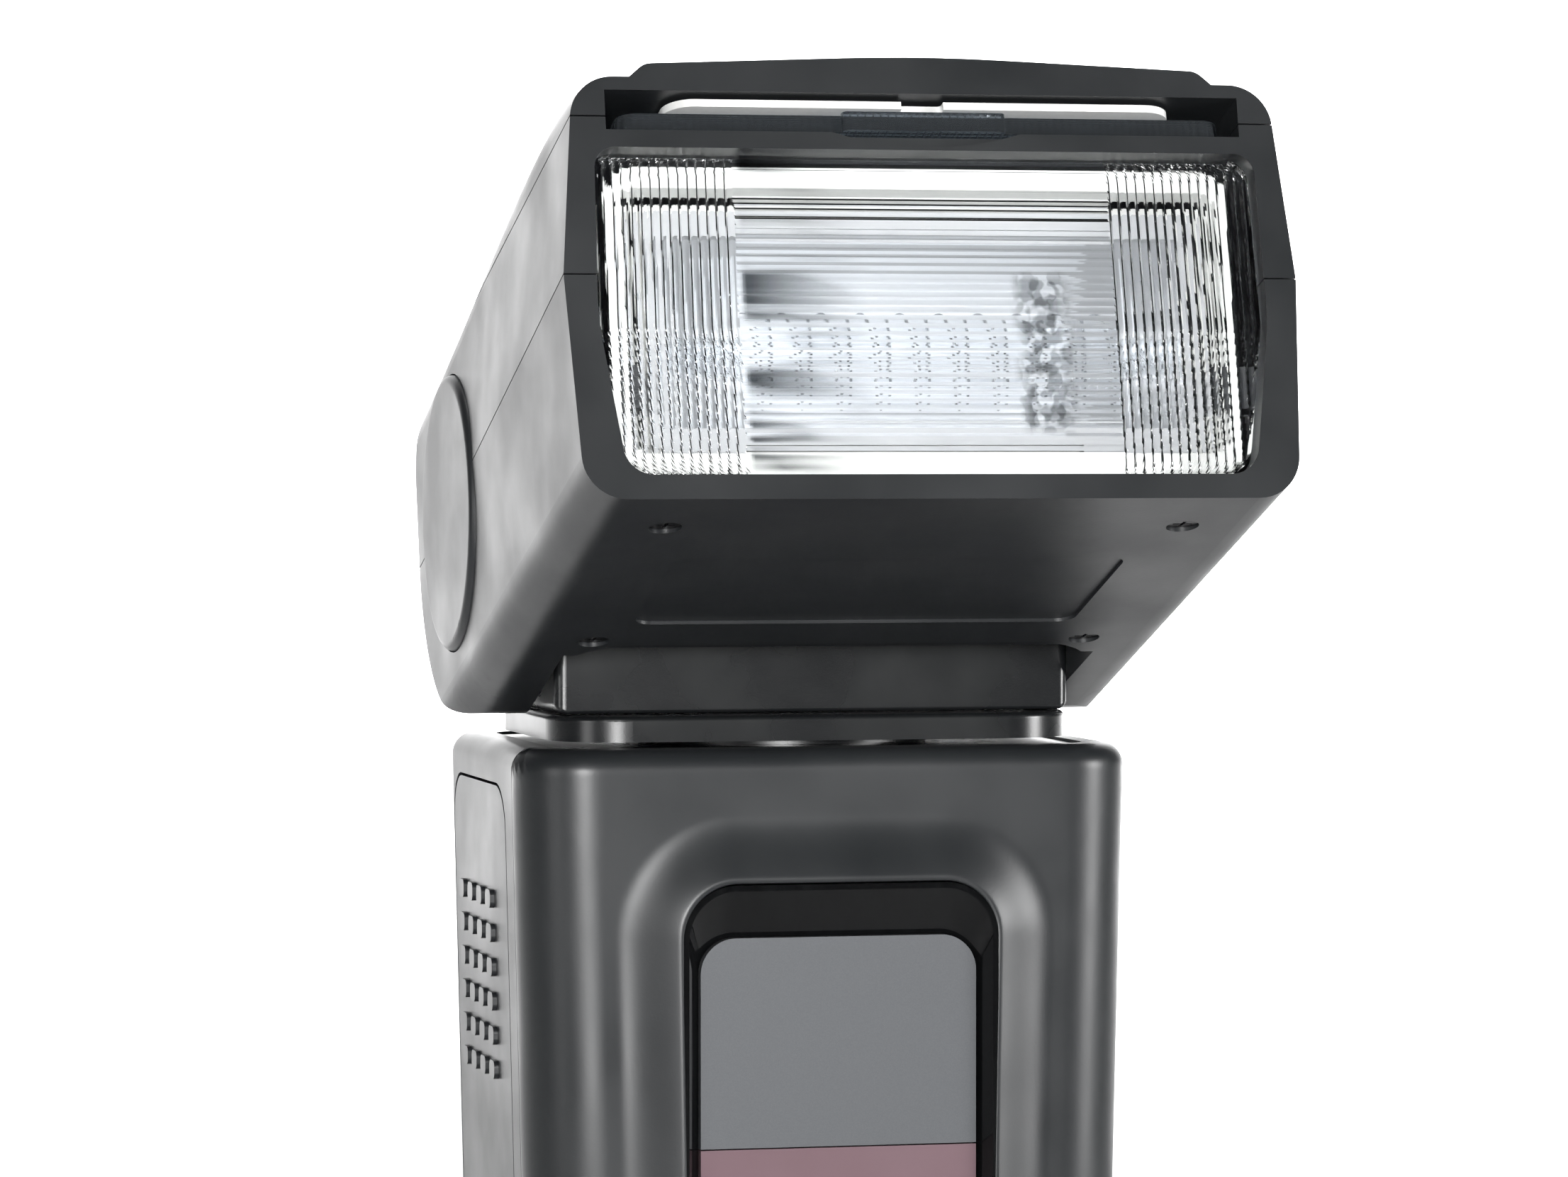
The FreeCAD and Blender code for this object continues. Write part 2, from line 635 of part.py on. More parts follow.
def battery_door():
    leaf = case_layer(0, DOOR_T, DOOR_BOTTOM - 5, DECK_Z)
    leaf = leaf.common(prism(door_outline(0), "yz", -60, 0))
    hinge_x, hinge_z = hinge_place()
    y0, y1 = DOOR_FRONT + 6.4 - MOVE, DOOR_BACK - 6.4 + MOVE
    leaf = leaf.cut(rod(KNUCKLE_R + MOVE, (hinge_x, y0, hinge_z), (hinge_x, y1, hinge_z)))
    for y in (DOOR_FRONT + 3.0, DOOR_BACK - 6.0):
        knuckle = rod(KNUCKLE_R, (hinge_x, y, hinge_z), (hinge_x, y + 3.0, hinge_z))
        web = box(hinge_x - 2.4, hinge_x, y, y + 3.0, hinge_z - KNUCKLE_R, hinge_z + KNUCKLE_R)
        leaf = leaf.fuse([knuckle, web])
    leaf = leaf.cut(rod(0.8, (hinge_x, DOOR_FRONT, hinge_z), (hinge_x, DOOR_BACK, hinge_z)))
    return leaf.fuse(door_grips()).removeSplitter()


def door_grips():
    """The rows of small raised bars on the door that a thumb pushes against."""
    bars = []
    first_y = (DOOR_FRONT + DOOR_BACK) / 2 - GRIP_PITCH_Y * (GRIP_COLUMNS - 1) / 2 + 1.6
    for row in range(GRIP_ROWS):
        z = DECK_Z - GRIP_TOP_DROP - GRIP_PITCH_Z * row
        for column in range(GRIP_COLUMNS):
            y = first_y + GRIP_PITCH_Y * column
            bars.append(slab(y - 1.5, y + 1.5, z - 1.0, z + 1.0, 0.7, "yz", door_x(z) - 0.5,
                             door_x(z) + 0.6))
    return bars


def door_runner():
    """The metal slide that carries the door's hinge; the door's toe swings in below its strip."""
    hinge_x, hinge_z = hinge_place()
    y0, y1 = DOOR_FRONT + 6.4, DOOR_BACK - 6.4
    strip = box(hinge_x + 1.7, hinge_x + 2.5, y0, y1, hinge_z + MOVE, hinge_z + KNUCKLE_R)
    parts = []
    for y in (y0, y1 - 2.0):
        knuckle = rod(KNUCKLE_R, (hinge_x, y, hinge_z), (hinge_x, y + 2.0, hinge_z))
        web = box(hinge_x, hinge_x + 2.0, y, y + 2.0, hinge_z + MOVE, hinge_z + KNUCKLE_R)
        parts += [knuckle, web]
    return fuse(strip, *parts).cut(rod(0.8, (hinge_x, DOOR_FRONT, hinge_z), (hinge_x, DOOR_BACK, hinge_z)))


def door_hinge_pin():
    hinge_x, hinge_z = hinge_place()
    return rod(0.75, (hinge_x, DOOR_FRONT + 2.6, hinge_z), (hinge_x, DOOR_BACK - 2.6, hinge_z))


def door_contacts():
    """The two bridging plates on the door's inside, each joining two cells."""
    plates = []
    for z in (BAY_BOTTOM + BAY_SIDE / 4, BAY_BOTTOM + BAY_SIDE * 3 / 4):
        low, high = z - 4.2, z + 4.2
        inner = door_x(low) + DOOR_T
        sheet = [(inner, low, 0), (inner + 0.4, low, 0), (door_x(high) + DOOR_T + 0.4, high, 0),
                 (door_x(high) + DOOR_T, high, 0)]
        plate = prism(sheet, "xz", BAY_FRONT + 2.4, BAY_BACK - 2.4)
        domes = [rod(2.0, (inner + 0.1, BAY_FRONT + BAY_SIDE * k / 4, z),
                     (inner + 0.9, BAY_FRONT + BAY_SIDE * k / 4, z)) for k in (1, 3)]
        plates.append(plate.fuse(domes).removeSplitter())
    return Part.makeCompound(plates)


# ---------------------------------------------------------------- electronics in the casing
def main_capacitor():
    """The photoflash capacitor lying across the casing under the neck."""
    y, z, radius = CASE_FRONT + CASE_WALL + 16.0, DECK_Z - 25.0, 12.0
    can = rod(radius, (-28, y, z), (19, y, z))
    can = can.makeFillet(1.2, [e for e in can.Edges if e.BoundBox.XLength < 1e-6])
    return can.cut(ring(radius + 1, radius - 0.6, (14.5, y, z), (16.0, y, z)))


def main_board():
    """The power board behind the capacitor, with its switching parts."""
    y = 5.8
    board = box(-28.5, 28.5, y, y + 1.6, BAY_TOP + 2.2, DECK_Z - 8)
    parts = [box(8, 18, y + 1.6, y + 5.6, 60, 75), box(20, 25, y + 1.6, y + 4.0, 58, 64),
             box(-27, -24, y + 1.6, y + 6.0, 58, 82), rod(3.0, (22.5, y + 1.6, 80), (22.5, y + 9.6, 80)),
             rod(2.4, (14.0, y + 1.6, 81), (14.0, y + 7.6, 81)), box(2, 6.5, y + 1.6, y + 2.8, 78, 84)]
    return fuse(board, *parts)


def power_transformer():
    y = 7.4
    core = fuse(box(-21, -5, y, y + 9.4, 61, 65), box(-21, -5, y, y + 9.4, 73, 77),
                rod(2.6, (-13, y + 4.7, 64), (-13, y + 4.7, 74)))
    limbs = [box(-21, -18.6, y, y + 9.4, 61, 77), box(-7.4, -5, y, y + 9.4, 61, 77)]
    winding = rod(4.6, (-13, y + 4.7, 66), (-13, y + 4.7, 72))
    return fuse(core, winding, *limbs)


def control_board():
    """The board behind the display and keys, with a dome switch under each key."""
    y0, y1 = CONTROL_BOARD_Y, CONTROL_BOARD_Y + BOARD_T
    board = box(-27, 27, y0, y1, BAY_BOTTOM, LCD_TOP - 1)
    places = [(x, KEY_ROW_Z) for x in key_row()]
    places += [(SIDE_KEY_X, UPPER_KEY_Z), (SIDE_KEY_X, LOWER_KEY_Z), (-SIDE_KEY_X, UPPER_KEY_Z),
               (0, DIAL_Z)]
    domes = [rod(2.0, (x, y1, z), (x, y1 + DOME_T, z)) for x, z in places]
    return fuse(board, *domes)


def lcd_module():
    back = CONTROL_BOARD_Y + BOARD_T
    frame = slab(-LCD_HALF + 0.8, LCD_HALF - 0.8, LCD_BOTTOM + 0.8, LCD_TOP - 0.8, 0.6, "xz", back,
                 INNER_BACK - 0.1)
    glass = slab(-LCD_HALF + 2.0, LCD_HALF - 2.0, LCD_BOTTOM + 2.0, LCD_TOP - 2.0, 0.6, "xz",
                 INNER_BACK - 0.1, CASE_BACK - 1.2)
    return frame.fuse(glass)


def lcd_window():
    return slab(-LCD_HALF, LCD_HALF, LCD_BOTTOM, LCD_TOP, 2.4, "xz", CASE_BACK - 1.0, CASE_BACK + 0.1)


# ---------------------------------------------------------------- keys, dial and switch
def key_row():
    """X of the four function keys."""
    return [KEY_PITCH * (i - 1.5) for i in range(4)]


def key_prism(x, z, grow, y0, y1):
    return slab(x - KEY_WIDTH / 2 - grow, x + KEY_WIDTH / 2 + grow, z - KEY_TALL / 2 - grow,
                z + KEY_TALL / 2 + grow,
                1.2 + grow, "xz", y0, y1)


def key_travel_floor():
    """Y of a key's inner end at rest, one press above its dome switch."""
    return CONTROL_BOARD_Y + BOARD_T + DOME_T + MOVE + KEY_TRAVEL


def softened(cap, depth=0.35):
    """A key cap with its outermost rim rounded."""
    face_y = cap.BoundBox.YMax
    return fillet_where(cap, depth, lambda e: abs(e.BoundBox.YMin - face_y) < 1e-6)


def push_key(x, z):
    cap = softened(key_prism(x, z, 0, key_travel_floor(), CASE_BACK + KEY_PROUD))
    return cap.fuse(key_prism(x, z, 0.7, key_travel_floor(), INNER_BACK - MOVE))


def test_button():
    x, z, floor = -SIDE_KEY_X, UPPER_KEY_Z, key_travel_floor()
    cap = softened(rod(ROUND_KEY_R, (x, floor, z), (x, CASE_BACK + KEY_PROUD, z)))
    return cap.fuse(rod(ROUND_KEY_R + 0.7, (x, floor, z), (x, INNER_BACK - MOVE, z)))


def dial_sleeve_r():
    """Outer radius of the sleeve that the dial turns on."""
    return SET_R + MOVE + 0.9


def select_dial():
    """The ring round the centre button, with notches for a fingertip."""
    face = CASE_BACK + DIAL_PROUD
    wheel = softened(rod(DIAL_R, (0, CASE_BACK - 1.3, DIAL_Z), (0, face, DIAL_Z)), 0.6)
    end = CONTROL_BOARD_Y + BOARD_T + DOME_T + 0.5
    sleeve = rod(dial_sleeve_r(), (0, end, DIAL_Z), (0, face - 1, DIAL_Z))
    clip = rod(dial_sleeve_r() + 1.2, (0, end, DIAL_Z), (0, INNER_BACK - 0.9 - MOVE, DIAL_Z))
    wheel = wheel.fuse([sleeve, clip]).cut(rod(SET_R + MOVE, (0, 0, DIAL_Z), (0, face + 1, DIAL_Z)))
    notches = []
    for i in range(24):
        notch = rod(0.45, (DIAL_R, face - 1.4, DIAL_Z), (DIAL_R, face + 1, DIAL_Z))
        notch.rotate(Vector(0, 0, DIAL_Z), Vector(0, 1, 0), 15 * i)
        notches.append(notch)
    return wheel.cut(notches)


def set_button():
    return softened(rod(SET_R, (0, key_travel_floor(), DIAL_Z),
                        (0, CASE_BACK + DIAL_PROUD - 0.3, DIAL_Z)), 0.5)


def power_switch():
    """The sliding knob, shown at its off end, on a stem that reaches through the casing."""
    x, z = -SIDE_KEY_X - SWITCH_TRAVEL / 2, LOWER_KEY_Z
    half = SWITCH_WIDTH / 2
    knob = slab(x - half, x + half, z - SWITCH_TALL / 2, z + SWITCH_TALL / 2, 1.0, "xz",
                CASE_BACK - 1.0 + MOVE, CASE_BACK + 1.0)
    ribs = [box(x + 1.4 * i - 0.25, x + 1.4 * i + 0.25, CASE_BACK + 0.7, CASE_BACK + 2, z - 1.7,
                z + 1.7) for i in (-1, 0, 1)]
    stem = box(x - 1.5, x + 1.5, INNER_BACK - 1.0, CASE_BACK, z - 1.1, z + 1.1)
    clip = box(x - 2.6, x + 2.6, INNER_BACK - 1.6, INNER_BACK - MOVE, z - 2.4, z + 2.4)
    return knob.cut(ribs).fuse([stem, clip]).removeSplitter()


# ---------------------------------------------------------------- side sockets
def cover_x(z):
    return case_half(z)


def cover_outline(by):
    return rectangle(COVER_FRONT + by, COVER_BACK - by, COVER_BOTTOM + by, COVER_TOP - by, 3.0 - by)


def socket_boss():
    """Extra wall behind the socket cover's recess."""
    thick = case_layer(CASE_WALL - 0.05, CASE_WALL + 1.4, COVER_BOTTOM - 8, COVER_TOP + 6)
    return thick.common(prism(cover_outline(-1.2), "yz", 10, 60))


def socket_recess():
    """The recess for the rubber cover and the holes for the two sockets."""
    depth = COVER_T + MOVE
    pocket = case_layer(-1, depth, COVER_BOTTOM - 8, COVER_TOP + 6)
    foot = rectangle(COVER_FRONT - MOVE, COVER_BACK + MOVE, COVER_BOTTOM - MOVE, COVER_BOTTOM + 5, 0.3)
    pocket = pocket.common(prism(cover_outline(-MOVE), "yz", 10, 60).fuse(prism(foot, "yz", 10, 60)))
    jack = rod(3.2, (20, SOCKET_Y, JACK_Z), (60, SOCKET_Y, JACK_Z))
    socket = slab(SOCKET_Y - 4.4, SOCKET_Y + 4.4, CONTROL_Z - 2.0, CONTROL_Z + 2.0, 0.6, "yz", 20, 60)
    return pocket.fuse([jack, socket])


def socket_face(z):
    """X of the recess floor, where the sockets end."""
    return cover_x(z) - COVER_T - MOVE - 0.1


def sync_jack():
    face = socket_face(JACK_Z)
    body = box(face - 12.5, face - 3.4, SOCKET_Y - 3.4, SOCKET_Y + 3.4, JACK_Z - 3.0, JACK_Z + 3.0)
    nose = rod(3.0, (face - 4, SOCKET_Y, JACK_Z), (face, SOCKET_Y, JACK_Z))
    bore = rod(JACK_BORE_R, (face - JACK_BORE_LENGTH, SOCKET_Y, JACK_Z), (face + 1, SOCKET_Y, JACK_Z))
    return body.fuse(nose).removeSplitter().cut(bore)


def control_socket():
    """The flat data socket: a pressed metal shell round a contact tongue."""
    face = socket_face(CONTROL_Z)
    shell = slab(SOCKET_Y - 4.1, SOCKET_Y + 4.1, CONTROL_Z - 1.7, CONTROL_Z + 1.7, 0.5, "yz",
                 face - 7.0, face)
    hollow = slab(SOCKET_Y - 3.7, SOCKET_Y + 3.7, CONTROL_Z - 1.3, CONTROL_Z + 1.3, 0.3, "yz",
                  face - 6.0, face + 1)
    tongue = box(face - 6.5, face - 1.0, SOCKET_Y - 2.6, SOCKET_Y + 2.6, CONTROL_Z - 0.1, CONTROL_Z + 0.6)
    return shell.cut(hollow).fuse(tongue).removeSplitter()


def port_cover():
    """The rubber flap over the sockets; it opens on the round bead along its lower edge."""
    leaf = case_layer(0, COVER_T, COVER_BOTTOM - 8, COVER_TOP + 6)
    leaf = leaf.common(prism(cover_outline(0), "yz", 10, 60))
    bead_x, bead_z = bead_place()
    leaf = leaf.cut(box(0, 60, COVER_FRONT - 1, COVER_BACK + 1, COVER_BOTTOM - 1, bead_z))
    bead = rod(COVER_T / 2, (bead_x, COVER_FRONT + 2.0, bead_z), (bead_x, COVER_BACK - 2.0, bead_z))
    return leaf.fuse(bead).removeSplitter()


def bead_place():
    """Where the socket cover's bead runs: half its thickness in from the outside and its edge."""
    z = COVER_BOTTOM + COVER_T / 2
    return cover_x(z) - COVER_T / 2, z


# ---------------------------------------------------------------- neck and swivel
def neck_profile(by):
    """The neck's side outline: a round top on a straight stem, moved in by a distance."""
    half = NECK_R - by
    return [(-half, FLANGE_TOP - PIVOT_Z + 0.15 + by, 0.4), (half, FLANGE_TOP - PIVOT_Z + 0.15 + by, 0.4),
            (half, half, half - 0.01), (-half, half, half - 0.01)]


def neck_block():
    """Both neck covers in one, hollow, in world places."""
    outer = prism(neck_profile(0), "yz", -NECK_HALF, NECK_HALF)
    foot = FLANGE_TOP - PIVOT_Z + 0.1
    outer = fillet_where(outer, 1.2,
                         lambda e: abs(abs(e.CenterOfMass.x) - NECK_HALF) < 1e-6 and e.BoundBox.ZMin > foot)
    hollow = prism(neck_profile(NECK_WALL), "yz", -NECK_HALF + NECK_WALL, NECK_HALF - NECK_WALL)
    well = rod(HUB_BORE_R, (0, 0, FLANGE_TOP - PIVOT_Z - 1), (0, 0, FLANGE_TOP - PIVOT_Z + 6))
    axle_hole = rod(AXLE_R + 0.02, (-NECK_HALF - 1, 0, 0), (NECK_HALF + 1, 0, 0))
    block = outer.cut(hollow).cut(well).cut(axle_hole)
    block.translate(Vector(0, 0, PIVOT_Z))
    return block


def neck_front_cover():
    return neck_block().common(box(-60, 60, -60, -0.05, 0, 300))


def neck_rear_cover():
    return neck_block().common(box(-60, 60, 0.05, 60, 0, 300))


def swivel_hub():
    """The flange under the neck with its hollow boss, which turns in the deck's bore."""
    flange = slab(-NECK_HALF - 0.3, NECK_HALF + 0.3, -FLANGE_HALF_Y, FLANGE_HALF_Y, 8.0, "xy",
                  FLANGE_Z, FLANGE_TOP)
    flange = fillet_where(flange, 0.6, lambda e: abs(e.BoundBox.ZMin - FLANGE_TOP) < 1e-6)
    boss = rod(HUB_R, (0, 0, DECK_Z - DECK_T - 2.2), (0, 0, FLANGE_Z + 0.5))
    seat = rod(HUB_R + 1.6, (0, 0, DECK_Z - 0.3 + MOVE), (0, 0, FLANGE_Z + 0.1))
    return fuse(flange, boss, seat).cut(rod(HUB_BORE_R, (0, 0, 0), (0, 0, 200)))


def swivel_retainer():
    """The ring on the hub's foot that keeps it in the deck."""
    low = DECK_Z - DECK_T - 0.3 - 1.4 - MOVE
    return ring(RETAINER_R, HUB_R + 0.02, (0, 0, low), (0, 0, low + 1.4))


def tilt_axle():
    """The hollow axle through the neck, with a collar inside each of the head's ears."""
    reach = HEAD_REAR_HALF - HEAD_WALL - 0.4
    tube = ring(AXLE_R, AXLE_BORE_R, (-reach, 0, PIVOT_Z), (reach, 0, PIVOT_Z))
    inner = NECK_HALF + EAR_GAP + HEAD_WALL + 0.2
    collars = [ring(AXLE_R + 1.8, AXLE_R - 0.1, (s * inner, 0, PIVOT_Z),
                    (s * (inner + 1.0), 0, PIVOT_Z)) for s in (-1, 1)]
    return fuse(tube, *collars)


# ---------------------------------------------------------------- head casing
def underside(a):
    """Height of the head's underside a distance forward of the pivot."""
    return HEAD_BOTTOM - (HEAD_LENGTH - a) * math.tan(math.radians(HEAD_UNDER_SLOPE))


def roof_line():
    """Heights of the head's roof at stations from its back to its front."""
    return [(-HEAD_BACK - 1, 16.6), (2.0, 20.3), (20.0, 23.4), (40.0, 26.9), (HEAD_LENGTH, HEAD_TOP)]


def head_section(a, high, by):
    """The head's outline across its length at a: leaning sides, widest at the parting line."""
    share = (a + HEAD_BACK) / (HEAD_LENGTH + HEAD_BACK)
    low, high, middle = underside(a) + by, high - by, PARTING_B + PARTING_SLOPE * a
    widest = HEAD_REAR_HALF + (HEAD_HALF - HEAD_REAR_HALF) * share - by
    edge = HEAD_EDGE_R - by * 0.8
    right = [(widest - 0.052 * share * (middle - low), low, edge), (widest, middle, 0),
             (widest - 0.086 * share * (high - middle), high, edge)]
    return rounded_wire(mirrored(right), "xz", -a)


def ear_outline(by):
    """The head's rounded back, seen from its side, as an outline open to the front."""
    corners = [(HEAD_BACK, -HEAD_BACK, HEAD_BACK - 0.5), (HEAD_BACK, 13.0, 8.0), (6.0, 21.0, 0),
               (-150, 90.0, 0),
               (-150, -HEAD_BACK, 0)]
    return inset(corners, by)


def head_solid(by):
    """The head's outside, with every wall moved in by a distance."""
    sections = [head_section(a, high, by) for a, high in roof_line()]
    return Part.makeLoft(sections, True, False).common(prism(ear_outline(by), "yz", -60, 60))


def channel(grow, half):
    """The space that the neck sweeps in the head frame, its walls grown by a distance."""
    radius = CHANNEL_R + grow
    dip = math.radians(7.0)
    rim = (radius * math.cos(dip), radius * math.sin(dip))
    reach = 34.0
    foot = (rim[0] + reach * math.sin(dip), rim[1] - reach * math.cos(dip))
    round_top = rod(radius, (-half, 0, 0), (half, 0, 0))
    corners = [(60, radius, 0), (0, radius, 0), (0, 0, 0), (-rim[0], rim[1], 0),
               (-foot[0], foot[1], 0), (60, foot[1], 0)]
    return round_top.fuse(prism(corners, "yz", -half, half))


def slot_band(low, high, half, rear, front):
    """A band along the card slot, low and high above its middle, from rear to front of its mouth."""
    return sloped(box(-half, half, -front, rear, low, high))


def head_shell():
    """The whole head casing with the neck channel, lens opening and card slot cut."""
    half = NECK_HALF + EAR_GAP
    cavity = head_solid(HEAD_WALL).common(box(-60, 60, -HEAD_LENGTH + 2.6, 60, -60, 60))
    cavity = cavity.cut(channel(CHANNEL_WALL, half + HEAD_WALL))
    cavity = cavity.cut(slot_band(-SLOT_T / 2 - 1.5, 30, 60, SLOT_DEPTH + 3, 5))
    shell = head_solid(0).cut(cavity).cut(channel(0, half))
    shell = shell.cut(prism(lens_outline(0), "xz", -HEAD_LENGTH - 1, -HEAD_LENGTH + 5))
    shell = shell.cut(flange_reliefs())
    shell = shell.cut(slot_band(-SLOT_T / 2, SLOT_T / 2, SLOT_HALF, SLOT_DEPTH, 5))
    nail = rod(NAIL_R, (0, -HEAD_LENGTH - 1, LENS_TOP + 0.3 + NAIL_R),
               (0, -HEAD_LENGTH + 1.4, LENS_TOP + 0.3 + NAIL_R))
    shell = shell.cut(nail.common(box(-20, 20, -HEAD_LENGTH - 2, 0, LENS_TOP, SLOT_MID)))
    shell = shell.cut(rod(AXLE_R + RUN, (-half - HEAD_WALL - 0.5, 0, 0), (half + HEAD_WALL + 0.5, 0, 0)))
    for side in (-1, 1):
        face = side * (HEAD_REAR_HALF + 2)
        shell = shell.cut(rod(CAP_R + FIT, (side * cap_seat(), 0, 0), (face, 0, 0)))
    return shell


def flange_reliefs():
    """Scallops under the head that clear the neck's flange at both ends of the tilt."""
    reliefs = []
    for tilt in (-TILT_DOWN, TILT_UP):
        grown = slab(-NECK_HALF - EAR_GAP, NECK_HALF + EAR_GAP, -FLANGE_HALF_Y - 0.5,
                     FLANGE_HALF_Y + 0.5, 8.0, "xy",
                     FLANGE_Z - PIVOT_Z - 3, FLANGE_TOP - PIVOT_Z + 0.5)
        grown.rotate(Vector(), Vector(1, 0, 0), tilt)
        reliefs.append(grown)
    return Part.makeCompound(reliefs)


def cap_seat():
    """X of the floor that each pivot cap sits on."""
    return HEAD_HALF - CAP_T - 0.05


def lens_outline(by):
    """The lens opening, moved in by a distance."""
    return inset(mirrored([(32.4, LENS_LOW, 3.0), (34.7, 4.0, 30.0), (34.3, LENS_TOP, 2.2)]), by)


def parting_slab(low, high):
    """Everything between two heights measured from the sloping parting plane."""
    corners = [(y, PARTING_B - PARTING_SLOPE * y + rise, 0)
               for y, rise in ((60, low), (-100, low), (-100, high), (60, high))]
    return prism(corners, "yz", -60, 60)


def hump():
    """The low raised field along the middle of the head's roof, dying away to the rear."""
    front = hump_section(HEAD_TOP, HUMP_RISE)
    rear = hump_section(dict(roof_line())[HUMP_REAR], HUMP_RISE * 0.35)
    return frustum(rear, -HUMP_REAR, front, -HEAD_LENGTH, "xz")


def hump_section(base, rise):
    """The raised field's outline: short sloping sides and an arched top."""
    half = SLOT_HALF - 2.6
    return [(-half, base - 0.9, 0), (half, base - 0.9, 0), (half, base, 0),
            (half - 1.6, base + rise * 0.54, 2.0),
            (0, base + rise, 200.0), (-half + 1.6, base + rise * 0.54, 2.0), (-half, base, 0)]


def cover_band():
    """The region that the roof cover takes: above the slot's middle, from 39 mm back to the front."""
    return slot_band(-0.6, 40, 60, COVER_LENGTH, 5)


def head_lower_shell(shell):
    part = shell.common(parting_slab(-60, -HEAD_GAP / 2))
    supports = []
    for a0, a1 in rod_supports():
        for side in (-1, 1):
            x0, x1 = sorted((side * (ROD_X - 2.2), side * (HEAD_REAR_HALF - HEAD_WALL + 0.6)))
            supports.append(box(x0, x1, -a1, -a0, ROD_B - 2.4, ROD_B + 2.0))
    part = part.fuse(supports)
    for side in (-1, 1):
        part = part.cut(rod(ROD_R, (side * ROD_X, -rod_supports()[0][0], ROD_B),
                            (side * ROD_X, -rod_supports()[1][1] + 0.6, ROD_B)))
    part = part.cut(head_screw_holes())
    return part.cut(label_recess())


def label_recess():
    """The shallow field under the head where a rating label would go."""
    column = slab(-24, 24, -52, -30, 2.0, "xy", -40, 0)
    skin = [(-52, underside(52) - 3, 0), (-30, underside(30) - 3, 0), (-30, underside(30) + 0.35, 0),
            (-52, underside(52) + 0.35, 0)]
    return column.common(prism(skin, "yz", -30, 30))


def head_upper_shell(shell):
    part = shell.common(parting_slab(HEAD_GAP / 2, 60))
    return part.cut(slot_band(-0.6 - HEAD_GAP, 40, 60, COVER_LENGTH + HEAD_GAP, 5))


def head_top_cover(shell):
    cover = shell.common(cover_band())
    return cover.fuse(hump())


def rod_supports():
    """Front-to-back spans of the two pairs of posts that hold the guide rods, rear pair first."""
    return (21.0, 23.0), (HEAD_LENGTH - 8.4, HEAD_LENGTH - 5.6)


def head_screw_places():
    """(x, a) of the four screws in the head's underside."""
    return [(x, a) for x in (-27.0, 27.0) for a in (24.0, HEAD_LENGTH - 9.0)]


def head_screw_holes():
    holes = []
    for x, a in head_screw_places():
        z = underside(a)
        holes.append(rod(1.7, (x, -a, z - 3), (x, -a, z + 1.25)))
        holes.append(rod(0.85, (x, -a, z - 3), (x, -a, z + 6)))
    return Part.makeCompound(holes)


def head_screws():
    return Part.makeCompound([screw(x, -a, underside(a) + 0.25, 1.55, 0.8, 5.4)
                              for x, a in head_screw_places()])


def pivot_cap(side):
    """The round, slightly domed cap over one end of the tilt axle."""
    inner, outer = cap_seat(), HEAD_HALF
    disc = rod(CAP_R, (inner, 0, 0), (outer, 0, 0))
    disc = fillet_where(disc, 0.9, lambda e: abs(e.BoundBox.XMin - outer) < 1e-6)
    if side < 0:
        disc = disc.mirror(Vector(), Vector(1, 0, 0))
    return disc


def fresnel_lens():
    """The clear front lens: a plate in the opening and a flange behind the frame."""
    front = -HEAD_LENGTH + LENS_RECESS
    plate = prism(lens_outline(FIT), "xz", front, front + LENS_T)
    flange = prism(lens_outline(-0.6), "xz", -HEAD_LENGTH + 2.65, front + LENS_T)
    flange = flange.common(box(-60, 60, -HEAD_LENGTH, 0, -30, LENS_TOP - 0.35))
    return plate.fuse(flange).removeSplitter()


def bounce_card():
    """The white card in the roof slot, with a notch in its front edge."""
    level = SLOT_T / 2 - 0.45 - CARD_T
    card = slab(-CARD_WIDTH / 2, CARD_WIDTH / 2, 0.9, 0.9 + CARD_LENGTH, 3.0, "xy", level, level + CARD_T)
    notch = slab(-2.2, 2.2, -1, 2.1, 0.4, "xy", level - 1, level + CARD_T + 1)
    return sloped(card.cut(notch))


def wide_panel():
    """The clear wide-angle panel under the card, with a lip for a fingernail."""
    level = -SLOT_T / 2 + 0.35
    panel = slab(-PANEL_WIDTH / 2, PANEL_WIDTH / 2, 1.2, 1.2 + PANEL_LENGTH, 2.0, "xy", level,
                 level + PANEL_T)
    lip = slab(-8.5, 8.5, 0.4, 1.6, 0.5, "xy", level, level + PANEL_T + 0.2)
    return sloped(panel.fuse(lip).removeSplitter())


# ---------------------------------------------------------------- zoom unit
def bowl(by, half_width, front):
    """The trough's inside as a block, grown by a distance, from its back to its mouth."""
    half, back = MOUTH_HEIGHT / 2 + by, REFLECTOR_DEPTH - MOUTH_A + by
    corners = [(front, OPTIC_B - half, 0), (back, OPTIC_B - half * 0.46, 4.0 + by),
               (back, OPTIC_B + half * 0.46, 4.0 + by),
               (front, OPTIC_B + half, 0)]
    return prism(corners, "yz", -half_width, half_width)


def reflector():
    """The bright trough behind the flash tube, closed at both ends."""
    half = MOUTH_WIDTH / 2
    outer = bowl(REFLECTOR_T, half + REFLECTOR_T, -MOUTH_A)
    inner = bowl(0, half, -MOUTH_A - 0.02)
    y = -tube_a()
    return outer.cut(inner).cut(rod(TUBE_R + 0.25, (-40, y, OPTIC_B), (40, y, OPTIC_B)))


def tube_a():
    """How far forward of the pivot the flash tube lies."""
    return MOUTH_A - REFLECTOR_DEPTH + 4.4


